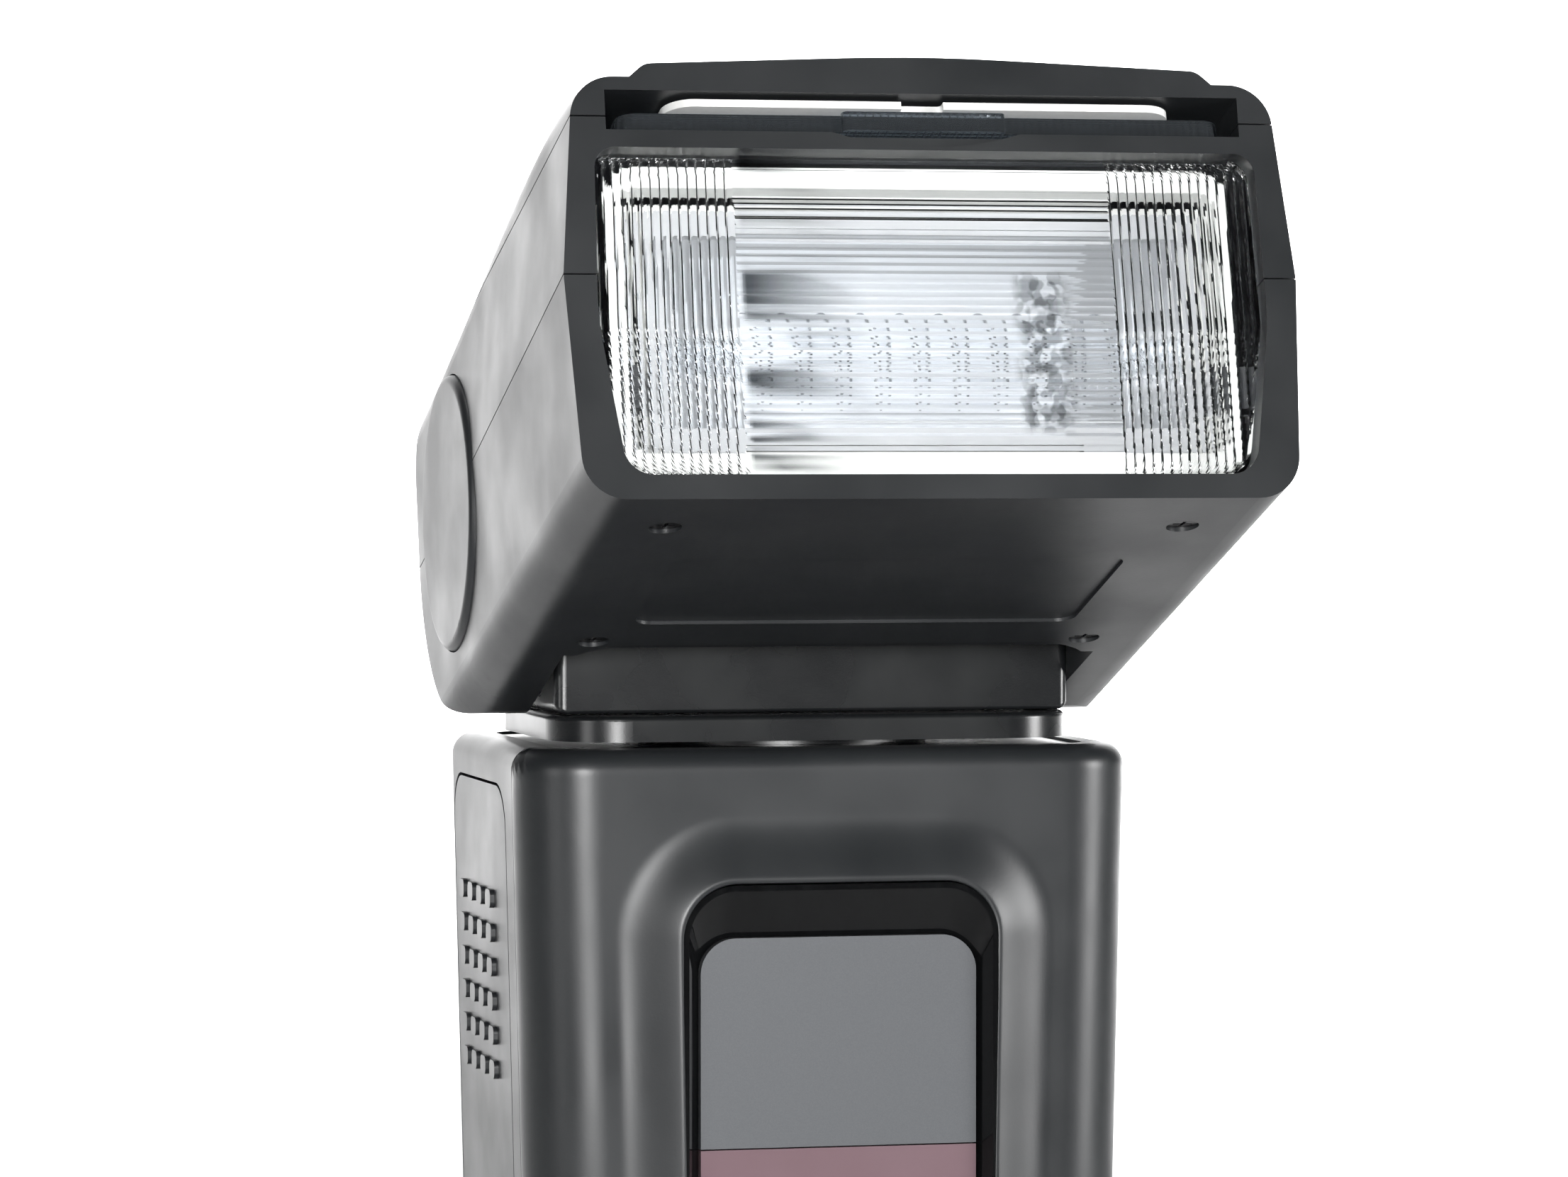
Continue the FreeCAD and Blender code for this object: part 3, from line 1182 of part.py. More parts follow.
def flash_tube():
    """The xenon tube: a glass rod with a metal cap at each end."""
    y = -tube_a()
    glass = rod(TUBE_R, (-TUBE_HALF, y, OPTIC_B), (TUBE_HALF, y, OPTIC_B))
    caps = [rod(TUBE_R + 0.2, (s * (TUBE_HALF + 0.1), y, OPTIC_B), (s * (TUBE_HALF + 2.2), y, OPTIC_B))
            for s in (-1, 1)]
    ends = [rod(TUBE_R - 0.5, (s * (TUBE_HALF - 0.5), y, OPTIC_B), (s * (TUBE_HALF + 0.5), y, OPTIC_B))
            for s in (-1, 1)]
    return fuse(glass, *caps, *ends)


def zoom_carriage():
    """The moulded frame that carries the reflector and tube along the guide rods."""
    half_h, half_w = MOUTH_HEIGHT / 2 + REFLECTOR_T, MOUTH_WIDTH / 2 + REFLECTOR_T
    front = slab(-half_w - 1.8, half_w + 1.8, OPTIC_B - half_h - 1.8, OPTIC_B + half_h + 1.8, 1.5,
                 "xz", -MOUTH_A - 1.4, -MOUTH_A)
    front = front.cut(slab(-half_w + 0.8, half_w - 0.8, OPTIC_B - half_h + 0.8, OPTIC_B + half_h - 0.8,
                           0.8, "xz", -MOUTH_A - 2, 0))
    parts = []
    for side in (-1, 1):
        x0, x1 = sorted((side * (half_w + 0.1), side * (half_w + 1.7)))
        parts.append(box(x0, x1, -MOUTH_A, -tube_a() + 3.4, OPTIC_B - 5, OPTIC_B + 5))
        x0, x1 = sorted((side * (half_w + 0.1), side * (ROD_X + 2.0)))
        parts.append(box(x0, x1, -MOUTH_A, -MOUTH_A + 12, ROD_B - 2.0, ROD_B + 2.0))
    nut = box(SCREW_X - 3, SCREW_X + 3, -MOUTH_A - 1.4, -MOUTH_A + 4, SCREW_B - 2.2, OPTIC_B - half_h - 0.2)
    frame = fuse(front, nut, *parts)
    frame = frame.cut(rod(TUBE_R + 0.3, (-40, -tube_a(), OPTIC_B), (40, -tube_a(), OPTIC_B)))
    for side in (-1, 1):
        frame = frame.cut(rod(ROD_R + 0.06, (side * ROD_X, 0, ROD_B), (side * ROD_X, -90, ROD_B)))
    return frame.cut(rod(SCREW_R + 0.1, (SCREW_X, 0, SCREW_B), (SCREW_X, -90, SCREW_B)))


def zoom_guide_rods():
    rear, front = rod_supports()
    return Part.makeCompound([rod(ROD_R, (s * ROD_X, -rear[0], ROD_B),
                                  (s * ROD_X, -front[1] + 0.6, ROD_B)) for s in (-1, 1)])


def motor_a():
    """Front face of the zoom motor."""
    return MOUTH_A - ZOOM_TRAVEL - 7.0


def lead_screw():
    """The zoom screw, with its collar at the motor and a turned thread."""
    end = MOUTH_A + 3.2
    shaft = rod(SCREW_R, (SCREW_X, -motor_a() - 0.3, SCREW_B), (SCREW_X, -end, SCREW_B))
    collar = rod(2.2, (SCREW_X, -motor_a() - 0.3, SCREW_B), (SCREW_X, -motor_a() - 1.8, SCREW_B))
    count = int((end - motor_a() - 4.0) / SCREW_PITCH)
    starts = [-motor_a() - 3.0 - SCREW_PITCH * i for i in range(count)]
    grooves = [ring(SCREW_R + 0.3, SCREW_R - 0.25, (SCREW_X, y, SCREW_B), (SCREW_X, y - 1.0, SCREW_B))
               for y in starts]
    return shaft.fuse(collar).removeSplitter().cut(grooves)


def zoom_motor():
    front = motor_a()
    can = rod(MOTOR_R, (SCREW_X, -front + MOTOR_LENGTH, SCREW_B), (SCREW_X, -front, SCREW_B))
    plate = slab(SCREW_X - 5.2, SCREW_X + 5.2, SCREW_B - 3.4, SCREW_B + 3.4, 1.0, "xz", -front,
                 -front + 0.8)
    tail = rod(1.5, (SCREW_X, -front + MOTOR_LENGTH, SCREW_B),
               (SCREW_X, -front + MOTOR_LENGTH + 0.8, SCREW_B))
    return fuse(can, plate, tail)


def trigger_board():
    """The trigger coil and capacitor on their small board under the reflector."""
    z = underside(32) + HEAD_WALL + 1.6
    board = box(-18, 2, -44, -25, z, z + 1.0)
    coil = fuse(rod(2.4, (-12, -42, z + 3.2), (-12, -28, z + 3.2)), box(-14, -10, -42, -28, z, z + 2))
    chip = box(-6, 0, -41, -35, z + 1.0, z + 3.6)
    return fuse(board, coil, chip)


# ---------------------------------------------------------------- all sub-parts
def body_parts():
    """Every piece that stands level: the casing, its fittings and the neck."""
    makers = [body_front_shell, body_rear_shell, body_top_deck, body_base_plate, window_bezel,
              badge_panel, sensor_window, af_assist_lamp, battery_tray, tray_contacts, main_capacitor,
              main_board, power_transformer, control_board, lcd_module, lcd_window, sync_jack,
              control_socket, shoe_foot, shoe_contact, case_screws, clamp_plate, lock_pin, lock_ring,
              battery_door, door_runner, door_hinge_pin, door_contacts, test_button, select_dial,
              set_button, power_switch, port_cover, neck_front_cover, neck_rear_cover, swivel_hub,
              swivel_retainer, tilt_axle]
    parts = {maker.__name__: maker() for maker in makers}
    parts["mode_key"] = push_key(SIDE_KEY_X, UPPER_KEY_Z)
    parts["slave_key"] = push_key(SIDE_KEY_X, LOWER_KEY_Z)
    for i, x in enumerate(key_row()):
        parts[f"function_key_{i + 1}"] = push_key(x, KEY_ROW_Z)
    return parts


def head_parts():
    """Every piece of the head, drawn level and then tilted."""
    shell = head_shell()
    parts = {maker.__name__: maker(shell) for maker in (head_lower_shell, head_upper_shell, head_top_cover)}
    makers = [fresnel_lens, bounce_card, wide_panel, reflector, flash_tube, zoom_carriage,
              zoom_guide_rods, lead_screw, zoom_motor, trigger_board, head_screws]
    parts.update({maker.__name__: maker() for maker in makers})
    parts["left_pivot_cap"] = pivot_cap(-1)
    parts["right_pivot_cap"] = pivot_cap(1)
    return {name: tilted(shape) for name, shape in parts.items()}


os.makedirs("parts", exist_ok=True)
for name, shape in {**body_parts(), **head_parts()}.items():
    shape.exportStep(f"parts/{name}.step")
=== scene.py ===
# %% [markdown]
# # A shoe-mounted flash, dressed in Blender
# The moving parts were drawn in CAD, so they arrive here exact but bare. This lesson gives every
# part its real finish and remakes the few whose surfaces are too soft or too fine for CAD: the
# swelling front of the casing, the ribbed lens, the bay's coil springs and the tube's trigger wire.

# %% Load the CAD frame
import bpy
import json
import math
import numpy as np
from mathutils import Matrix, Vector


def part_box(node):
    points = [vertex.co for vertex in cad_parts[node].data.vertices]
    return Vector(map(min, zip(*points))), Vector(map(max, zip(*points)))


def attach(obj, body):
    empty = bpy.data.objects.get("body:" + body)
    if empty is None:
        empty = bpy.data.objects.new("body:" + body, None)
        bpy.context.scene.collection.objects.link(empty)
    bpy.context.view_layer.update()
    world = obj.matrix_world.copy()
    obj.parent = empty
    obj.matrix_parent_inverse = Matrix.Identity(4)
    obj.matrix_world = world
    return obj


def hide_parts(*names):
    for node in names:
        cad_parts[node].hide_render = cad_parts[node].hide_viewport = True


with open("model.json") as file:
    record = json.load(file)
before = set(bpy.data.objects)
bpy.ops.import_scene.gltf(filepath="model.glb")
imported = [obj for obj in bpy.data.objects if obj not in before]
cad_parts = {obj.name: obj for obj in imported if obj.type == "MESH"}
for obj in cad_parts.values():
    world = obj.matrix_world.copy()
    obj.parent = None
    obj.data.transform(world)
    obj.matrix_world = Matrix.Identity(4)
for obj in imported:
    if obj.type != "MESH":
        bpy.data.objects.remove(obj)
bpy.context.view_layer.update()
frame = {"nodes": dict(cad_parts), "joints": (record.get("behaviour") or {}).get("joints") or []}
nodes = frame["nodes"]

# %% [markdown]
# ## The head's own frame
# The head is tilted up on its axle. Its parts are easier to draw level, with x across, a forward
# of the axle and b above it, and then to tilt. The zoom joint slides straight back along the head,
# so its axis gives the tilt, and the tilt joint gives the axle's place.

# %% Read the tilt from the joints
MM = 0.001
joints = {joint["name"]: joint for joint in frame["joints"]}
axle_z = joints["head_tilt"]["pos_m"][2]
zoom_axis = joints["zoom_slide"]["axis"]
tilt = math.atan2(-zoom_axis[2], zoom_axis[1])
print("head tilt in degrees:", round(math.degrees(tilt), 2))


def head_to_world(x, a, b):
    """Millimetres in the head's level frame to metres in the row frame:
    y = -(a cos t - b sin t) and z = axle + a sin t + b cos t, for tilt t."""
    x, a, b = np.broadcast_arrays(x, a, b)
    y = -(a * math.cos(tilt) - b * math.sin(tilt))
    z = a * math.sin(tilt) + b * math.cos(tilt)
    return np.stack([x * MM, y * MM, z * MM + axle_z], axis=-1)


# %% [markdown]
# ## Colours and nodes
# Colours are picked as sRGB hex, as a paint chart lists them, and turned to linear light once.
# One helper adds any shader node with its settings and its links, so a material reads as a list.
# Two more shape a value: a ramp between two places, and a band that is 1 between them.

# %% Helpers for every material
PRINCIPLED, BUMP, NOISE = "ShaderNodeBsdfPrincipled", "ShaderNodeBump", "ShaderNodeTexNoise"
COORDINATES, MAPPING = "ShaderNodeTexCoord", "ShaderNodeMapping"
MIX, MATH = "ShaderNodeMixRGB", "ShaderNodeMath"


def linear(hex_colour):
    """sRGB hex to linear RGBA: below 0.04045 divide by 12.92, above it ((c + 0.055) / 1.055) ** 2.4."""
    channels = [int(hex_colour[i:i + 2], 16) / 255 for i in (0, 2, 4)]
    return [c / 12.92 if c <= 0.04045 else ((c + 0.055) / 1.055) ** 2.4 for c in channels] + [1.0]


def add(material, kind, settings=None, **sockets):
    """Adds a node. settings are its own properties; sockets are numbers, colours or (node, output)."""
    tree = material.node_tree
    node = tree.nodes.new(kind)
    for name, value in (settings or {}).items():
        setattr(node, name, value)
    for name, value in sockets.items():
        socket = node.inputs[int(name[1:])] if name[0] == "_" else node.inputs[name.replace("_", " ")]
        if isinstance(value, tuple) and hasattr(value[0], "outputs"):
            tree.links.new(value[0].outputs[value[1]], socket)
        else:
            socket.default_value = value
    return node


def new_material(name):
    """An empty node material, and its output node."""
    material = bpy.data.materials.new(name)
    material.use_nodes = True
    material.node_tree.nodes.clear()
    return material, add(material, "ShaderNodeOutputMaterial")


def finish(material, output, shader):
    """Joins the shader to the output."""
    material.node_tree.links.new(shader.outputs[0], output.inputs["Surface"])
    return material


def ramp(material, value, start, end, low=0.0, high=1.0):
    """A straight ramp of a value, from low at start to high at end, held flat beyond them."""
    return add(material, "ShaderNodeMapRange", Value=value, From_Min=start, From_Max=end, To_Min=low,
               To_Max=high)


def band(material, value, start, end, edge):
    """1 between start and end, 0 outside them, each ramp one edge wide."""
    rise = ramp(material, value, start, start + edge)
    fall = ramp(material, value, end - edge, end, 1.0, 0.0)
    return times(material, (rise, "Result"), (fall, "Result"))


def times(material, first, second):
    """The product of two node values."""
    return add(material, MATH, {"operation": "MULTIPLY"}, _0=first, _1=second)


def principled(material):
    """The material's one Principled shader node."""
    return [node for node in material.node_tree.nodes if node.type == "BSDF_PRINCIPLED"][0]


def paint(material, *names):
    """Gives CAD nodes a material through their object's slots, which leaves their meshes alone."""
    for name in names:
        for slot in nodes[name].material_slots:
            slot.link = "OBJECT"
            slot.material = material
    print(material.name, "->", ", ".join(names))


# %% [markdown]
# ## Moulded casing plastic
# The casing, door and head shells are ABS, moulded in a steel tool whose face was spark-eroded.
# The sparks leave tiny pits about 0.15 mm across, so the plastic is matt with a faint sparkle at
# a glancing angle. Noise in millimetres gives the pits, and a second slow noise the cloudy
# change of gloss that handling leaves. The pits are drawn at 0.3 mm so that they show.

# %% Spark-eroded ABS
PIT = 0.30
CLOUD = 14.0


def moulded_plastic(name, light, dark, roughness, pit=PIT, depth=0.010, coat=0.0):
    """ABS from an eroded tool: colour mottled between two greys, pits as bump, cloudy gloss."""
    material, output = new_material(name)
    place = add(material, COORDINATES)
    pits = add(material, NOISE, Vector=(place, "Object"), Scale=1 / (pit * MM), Detail=2.0,
               Roughness=0.6)
    cloud = add(material, NOISE, Vector=(place, "Object"), Scale=1 / (CLOUD * MM), Detail=3.0)
    mottle = add(material, MIX, _0=(cloud, "Fac"), _1=linear(dark), _2=linear(light))
    gloss = ramp(material, (cloud, "Fac"), 0.3, 0.7, roughness - 0.05, roughness + 0.06)
    bump = add(material, BUMP, Height=(pits, "Fac"), Strength=0.55, Distance=depth * MM)
    shader = add(material, PRINCIPLED, Base_Color=(mottle, "Color"), Roughness=(gloss, "Result"),
                 Normal=(bump, "Normal"), IOR=1.54, Coat_Weight=coat, Coat_Roughness=0.25)
    return finish(material, output, shader)


casing_abs = moulded_plastic("spark_eroded_charcoal_abs", "232527", "1D1F21", 0.38)
neck_abs = moulded_plastic("fine_textured_black_abs", "17191A", "121315", 0.27, pit=0.22)
wheel_abs = moulded_plastic("moulded_black_acetal", "1A1B1C", "161718", 0.30, pit=0.25)
tray_abs = moulded_plastic("moulded_black_tray_abs", "202123", "18191A", 0.50)
nylon = moulded_plastic("white_nylon_moulding", "E6E6E2", "DADAD5", 0.45)
paint(casing_abs, "body_rear_shell", "body_base_plate", "battery_door", "head_lower_shell",
      "head_upper_shell", "head_top_cover", "left_pivot_cap", "right_pivot_cap", "body_front_shell")
paint(neck_abs, "body_top_deck", "neck_front_cover", "neck_rear_cover", "swivel_hub")
paint(wheel_abs, "lock_ring", "select_dial", "power_switch")
paint(tray_abs, "battery_tray")
# painted shade: the carriage is the same nylon as the white shade plates, painted a darker grey to stand in
# for shade round the reflector's mouth
nylon_painted_shade = moulded_plastic("nylon_moulding_painted_shade", "B4B5B6", "A6A7A8", 0.40)
paint(nylon_painted_shade, "zoom_carriage")

# %% [markdown]
# ## Polished window frame and satin badge
# The frame round the red window comes from a polished tool, so it mirrors the studio like
# piano black, with only hairline wiping marks. The badge panel above the window is painted
# a satin grey whose fine metal flake is about 0.1 mm.

# %% Gloss black frame
POLISHED_IOR = 1.38


def polished_black(name, colour):
    """Gloss plastic: very low roughness, raised a little along fine crossing hairlines."""
    material, output = new_material(name)
    place = add(material, COORDINATES)
    stretch = add(material, MAPPING, Vector=(place, "Object"), Scale=(900.0, 900.0, 60.0))
    hairs = add(material, NOISE, Vector=(stretch, "Vector"), Scale=1.0, Detail=2.0)
    gloss = ramp(material, (hairs, "Fac"), 0.45, 0.75, 0.07, 0.20)
    tint = add(material, MIX, _0=(hairs, "Fac"), _1=linear(colour), _2=linear("0E0F10"))
    shader = add(material, PRINCIPLED, Base_Color=(tint, "Color"), Roughness=(gloss, "Result"),
                 IOR=POLISHED_IOR)
    return finish(material, output, shader)


paint(polished_black("polished_black_abs", "060607"), "window_bezel")


# %% Satin grey badge
def satin_paint(name, light, dark):
    """Metallic grey paint: each flake cell takes one of two greys, under a thin satin clear coat."""
    material, output = new_material(name)
    place = add(material, COORDINATES)
    flake = add(material, "ShaderNodeTexVoronoi", Vector=(place, "Object"), Scale=1 / (0.12 * MM))
    tint = add(material, MIX, _0=(flake, "Color"), _1=linear(dark), _2=linear(light))
    shader = add(material, PRINCIPLED, Base_Color=(tint, "Color"), Roughness=0.42, Metallic=0.25,
                 Coat_Weight=0.35, Coat_Roughness=0.30)
    return finish(material, output, shader)


paint(satin_paint("satin_grey_lacquer", "5E6063", "585A5D"), "badge_panel")

# %% [markdown]
# ## Red sensor window
# The window is dyed acrylic, dark enough to hide the sensor but clear to infrared. Its thick
# body swallows most light, so it reads as wine red with a mirror-like face.

# %% Dyed red acrylic
PASSING_SHARE = 0.35


def dyed_acrylic(name, colour, deep):
    """A dyed clear plastic: part of the light goes through tinted, the rest shows a deep body colour."""
    material, output = new_material(name)
    place = add(material, COORDINATES)
    drift = add(material, NOISE, Vector=(place, "Object"), Scale=1 / (9.0 * MM), Detail=1.0)
    tint = add(material, MIX, _0=(drift, "Fac"), _1=linear(deep), _2=linear(colour))
    shader = add(material, PRINCIPLED, Base_Color=(tint, "Color"), Roughness=0.08, IOR=1.49,
                 Transmission_Weight=PASSING_SHARE)
    return finish(material, output, shader)


paint(dyed_acrylic("dyed_red_acrylic", "957C83", "8A7077"), "sensor_window")

# %% [markdown]
# ## Clear mouldings
# The lens, the pull-out wide panel and the display cover are acrylic. Clear plastic is mostly
# transmission; a trace of roughness keeps it from looking like empty air, and the wide panel
# carries a field of tiny prisms, about 0.8 mm apart, which spread the light. Shadow rays go
# straight through, so that the lamps reach what stands behind the plastic.

# %% Clear acrylic
def clear_acrylic(name, colour, roughness, prism=0.0, clear=1.0):
    """Acrylic, IOR 1.49. A prism pitch in millimetres presses crossing ridges into the surface."""
    material, output = new_material(name)
    place = add(material, COORDINATES)
    if prism:
        across = add(material, "ShaderNodeTexWave", {"bands_direction": "X"}, Vector=(place, "Object"),
                     Scale=0.314 / (prism * MM))
        down = add(material, "ShaderNodeTexWave", {"bands_direction": "Y"}, Vector=(place, "Object"),
                   Scale=0.314 / (prism * MM))
        height = add(material, MATH, {"operation": "ADD"}, _0=(across, "Fac"), _1=(down, "Fac"))
        bump = add(material, BUMP, Height=(height, "Value"), Strength=0.8, Distance=0.12 * MM)
    else:
        swirl = add(material, NOISE, Vector=(place, "Object"), Scale=1 / (20 * MM), Detail=0.0)
        bump = add(material, BUMP, Height=(swirl, "Fac"), Strength=0.2, Distance=0.05 * MM)
    solid = add(material, PRINCIPLED, Base_Color=linear(colour), Roughness=roughness, IOR=1.49,
                Transmission_Weight=clear, Normal=(bump, "Normal"))
    path = add(material, "ShaderNodeLightPath")
    passing = add(material, "ShaderNodeBsdfTransparent", Color=linear(colour))
    shader = add(material, "ShaderNodeMixShader", _0=(path, "Is Shadow Ray"), _1=(solid, "BSDF"),
                 _2=(passing, "BSDF"))
    return finish(material, output, shader)


STREAK_START, STREAK_END = -0.0190, -0.0060
NET_LEFT, NET_RIGHT, NET_EDGE = 0.0085, 0.0150, 0.0015
NET_FOOT, NET_TOP = (0.16, 0.19), (0.62, 0.66)


def painted_reflection_acrylic(name, clear_colour, reflection_colour):
    """Lens acrylic with painted reflection: dark streaks, painted into its colour where the level
    ribs would mirror the dark room, start at the left end zone and thin out to the right, and a fine net of
    painted dark specks lies right of the middle."""
    material = clear_acrylic(name, clear_colour, 0.04)
    place = add(material, COORDINATES)
    split = add(material, "ShaderNodeSeparateXYZ", Vector=(place, "Object"))
    flow = add(material, MAPPING, Vector=(place, "Object"), Scale=(30.0, 1.0, 1100.0))
    fine = add(material, NOISE, Vector=(flow, "Vector"), Scale=1.0, Detail=2.0)
    wide = add(material, MAPPING, Vector=(place, "Object"), Scale=(60.0, 1.0, 200.0))
    patch = add(material, NOISE, Vector=(wide, "Vector"), Scale=1.0, Detail=1.0)
    # painted reflection: dark streaks, strongest just inside the left end zone, thinning out to the right
    fade = times(material, (ramp(material, (split, "X"), STREAK_START - 0.0004, STREAK_START), "Result"),
                 (ramp(material, (split, "X"), STREAK_START + 0.0005, STREAK_END, 1.0, 0.0), "Result"))
    lines = times(material, (ramp(material, (fine, "Fac"), 0.36, 0.56), "Result"),
                  (ramp(material, (patch, "Fac"), 0.40, 0.56), "Result"))
    smear = times(material, (fade, "Value"), (lines, "Value"))

    lens_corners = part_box("fresnel_lens")
    foot, rise = lens_corners[0][2], lens_corners[1][2] - lens_corners[0][2]
    # painted reflection: a window right of the middle where fine dark specks are painted
    foot_ramp = ramp(material, (split, "Z"), foot + NET_FOOT[0] * rise, foot + NET_FOOT[1] * rise)
    top_ramp = ramp(material, (split, "Z"), foot + NET_TOP[0] * rise, foot + NET_TOP[1] * rise, 1.0, 0.0)
    level = times(material, (foot_ramp, "Result"), (top_ramp, "Result"))
    width = band(material, (split, "X"), NET_LEFT, NET_RIGHT, NET_EDGE)
    window = times(material, (width, "Value"), (level, "Value"))
    net = add(material, NOISE, Vector=(place, "Object"), Scale=700.0, Detail=1.0)
    painted_specks = times(material, (window, "Value"),
                   (ramp(material, (net, "Fac"), 0.46, 0.54, 0.0, 0.8), "Result"))

    # the painted streaks and specks darken the lens's colour towards the dark reflection colour
    marks = add(material, MATH, {"operation": "MAXIMUM"}, _0=(smear, "Value"), _1=(painted_specks, "Value"))
    tint = add(material, MIX, _0=(marks, "Value"), _1=linear(clear_colour),
               _2=linear(reflection_colour))
    material.node_tree.links.new(tint.outputs["Color"], principled(material).inputs["Base Color"])
    return material


# the lens carries painted reflection in its colour: dark streaks and a net of dark specks
lens_acrylic = painted_reflection_acrylic("clear_acrylic_painted_reflection", "F8F9FA", "55585B")
paint(lens_acrylic, "fresnel_lens")
paint(clear_acrylic("prismed_clear_acrylic", "AEB6BD", 0.12, prism=0.8, clear=0.95), "wide_panel")
paint(clear_acrylic("display_cover_acrylic", "C9D0D2", 0.03), "lcd_window")

# %% [markdown]
# ## White bounce card and quartz tube
# The card is a sheet of white polycarbonate with a faint orange-peel from rolling. The flash
# tube is quartz glass, with a metal cap on each end.

# %% Card and tube
def rolled_sheet(name, colour):
    """White satin sheet: slow orange-peel bump 0.6 mm across."""
    material, output = new_material(name)
    place = add(material, COORDINATES)
    peel = add(material, NOISE, Vector=(place, "Object"), Scale=1 / (0.6 * MM), Detail=1.0)
    bump = add(material, BUMP, Height=(peel, "Fac"), Strength=0.3, Distance=0.01 * MM)
    tint = add(material, MIX, _0=(peel, "Fac"), _1=linear(colour), _2=linear("E4E4E2"))
    shader = add(material, PRINCIPLED, Base_Color=(tint, "Color"), Roughness=0.35, IOR=1.58,
                 Normal=(bump, "Normal"))
    return finish(material, output, shader)


paint(rolled_sheet("rolled_white_polycarbonate", "F1F1EF"), "bounce_card")
paint(clear_acrylic("drawn_quartz_glass", "F4F6F8", 0.02), "flash_tube")


# %% [markdown]
# ## Metals
# Most small metal parts are steel, plated with nickel and left with the fine lines of drawing or
# rolling. The reflector is aluminium rolled bright, whose lines run across the head and smear
# the light sideways. The shoe foot is a zinc casting, tumbled to a soft satin.

# %% Plated, rolled and cast metal
def lined_metal(name, light, dark, roughness, line, long_axis=(1.0, 40.0, 40.0), metallic=1.0):
    """Metal with fine lines along one axis: noise squeezed in the other two sets colour and gloss."""
    material, output = new_material(name)
    place = add(material, COORDINATES)
    squeeze = add(material, MAPPING, Vector=(place, "Object"), Scale=long_axis)
    lines = add(material, NOISE, Vector=(squeeze, "Vector"), Scale=1 / (line * 40 * MM), Detail=3.0)
    tint = add(material, MIX, _0=(lines, "Fac"), _1=linear(dark), _2=linear(light))
    gloss = ramp(material, (lines, "Fac"), 0.3, 0.7, roughness - 0.06, roughness + 0.08)
    bump = add(material, BUMP, Height=(lines, "Fac"), Strength=0.25, Distance=0.01 * MM)
    shader = add(material, PRINCIPLED, Base_Color=(tint, "Color"), Roughness=(gloss, "Result"),
                 Metallic=metallic, Normal=(bump, "Normal"))
    return finish(material, output, shader)


plated_steel = lined_metal("nickel_plated_steel", "B9BABC", "9A9B9D", 0.26, 0.12)
paint(plated_steel, "tray_contacts", "sync_jack", "control_socket", "clamp_plate", "lock_pin", "door_runner",
      "door_hinge_pin", "door_contacts", "swivel_retainer", "tilt_axle", "zoom_guide_rods", "lead_screw",
      "zoom_motor")
paint(lined_metal("black_oxide_steel", "2A2A2C", "1C1C1E", 0.38, 0.15), "case_screws", "head_screws")
paint(lined_metal("tumbled_zinc_casting", "8E9092", "7A7C7E", 0.40, 0.35, (20.0, 20.0, 20.0)), "shoe_foot")
paint(lined_metal("gold_plated_brass", "E2C06A", "D2AE56", 0.20, 0.10), "shoe_contact")
paint(lined_metal("bright_rolled_aluminium", "F8F9FA", "E8EAEC", 0.40, 0.25, metallic=0.6), "reflector")


WALL_X, MOUTH_BAND, WALL_EDGE = 0.0200, 0.0030, 0.0004


def paint_reflector_wall_shade(material, grey):
    """Paints shade on the reflector's walls as a flat grey: its two ends beyond 20 mm from the middle, and a
    band
    3 mm deep inside its mouth, where depth is the dot product with the head's own axis."""
    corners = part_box("reflector")
    axis = (0.0, -math.cos(tilt), math.sin(tilt))
    mouth = corners[0][1] * axis[1] + corners[0][2] * axis[2]
    place = add(material, COORDINATES)
    split = add(material, "ShaderNodeSeparateXYZ", Vector=(place, "Object"))
    half = add(material, MATH, {"operation": "ABSOLUTE"}, _0=(split, "X"))
    ends = ramp(material, (half, "Value"), WALL_X - WALL_EDGE / 2, WALL_X + WALL_EDGE / 2)
    depth = add(material, "ShaderNodeVectorMath", {"operation": "DOT_PRODUCT"}, _0=(place, "Object"), _1=axis)
    band_back = mouth - MOUTH_BAND
    rim = ramp(material, (depth, "Value"), band_back - WALL_EDGE / 2, band_back + WALL_EDGE / 2)
    where = add(material, MATH, {"operation": "MAXIMUM"}, _0=(ends, "Result"), _1=(rim, "Result"))
    shader = principled(material)
    bright = shader.inputs["Base Color"].links[0].from_node
    # painted shade: the bright aluminium colour is mixed towards grey on the walls and mouth band
    tint = add(material, MIX, _0=(where, "Value"), _1=(bright, "Color"), _2=linear(grey))
    material.node_tree.links.new(tint.outputs["Color"], shader.inputs["Base Color"])


# painted shade: the same rolled aluminium is painted grey on its side walls and inside its mouth
paint_reflector_wall_shade(bpy.data.materials["bright_rolled_aluminium"], "C9CACB")

# %% [markdown]
# ## Boards, windings and sleeve
# The circuit boards are glass fibre under green solder mask, with tracks on a 1.3 mm raster.
# The capacitor wears a dark shrink sleeve and the transformer is black ferrite.

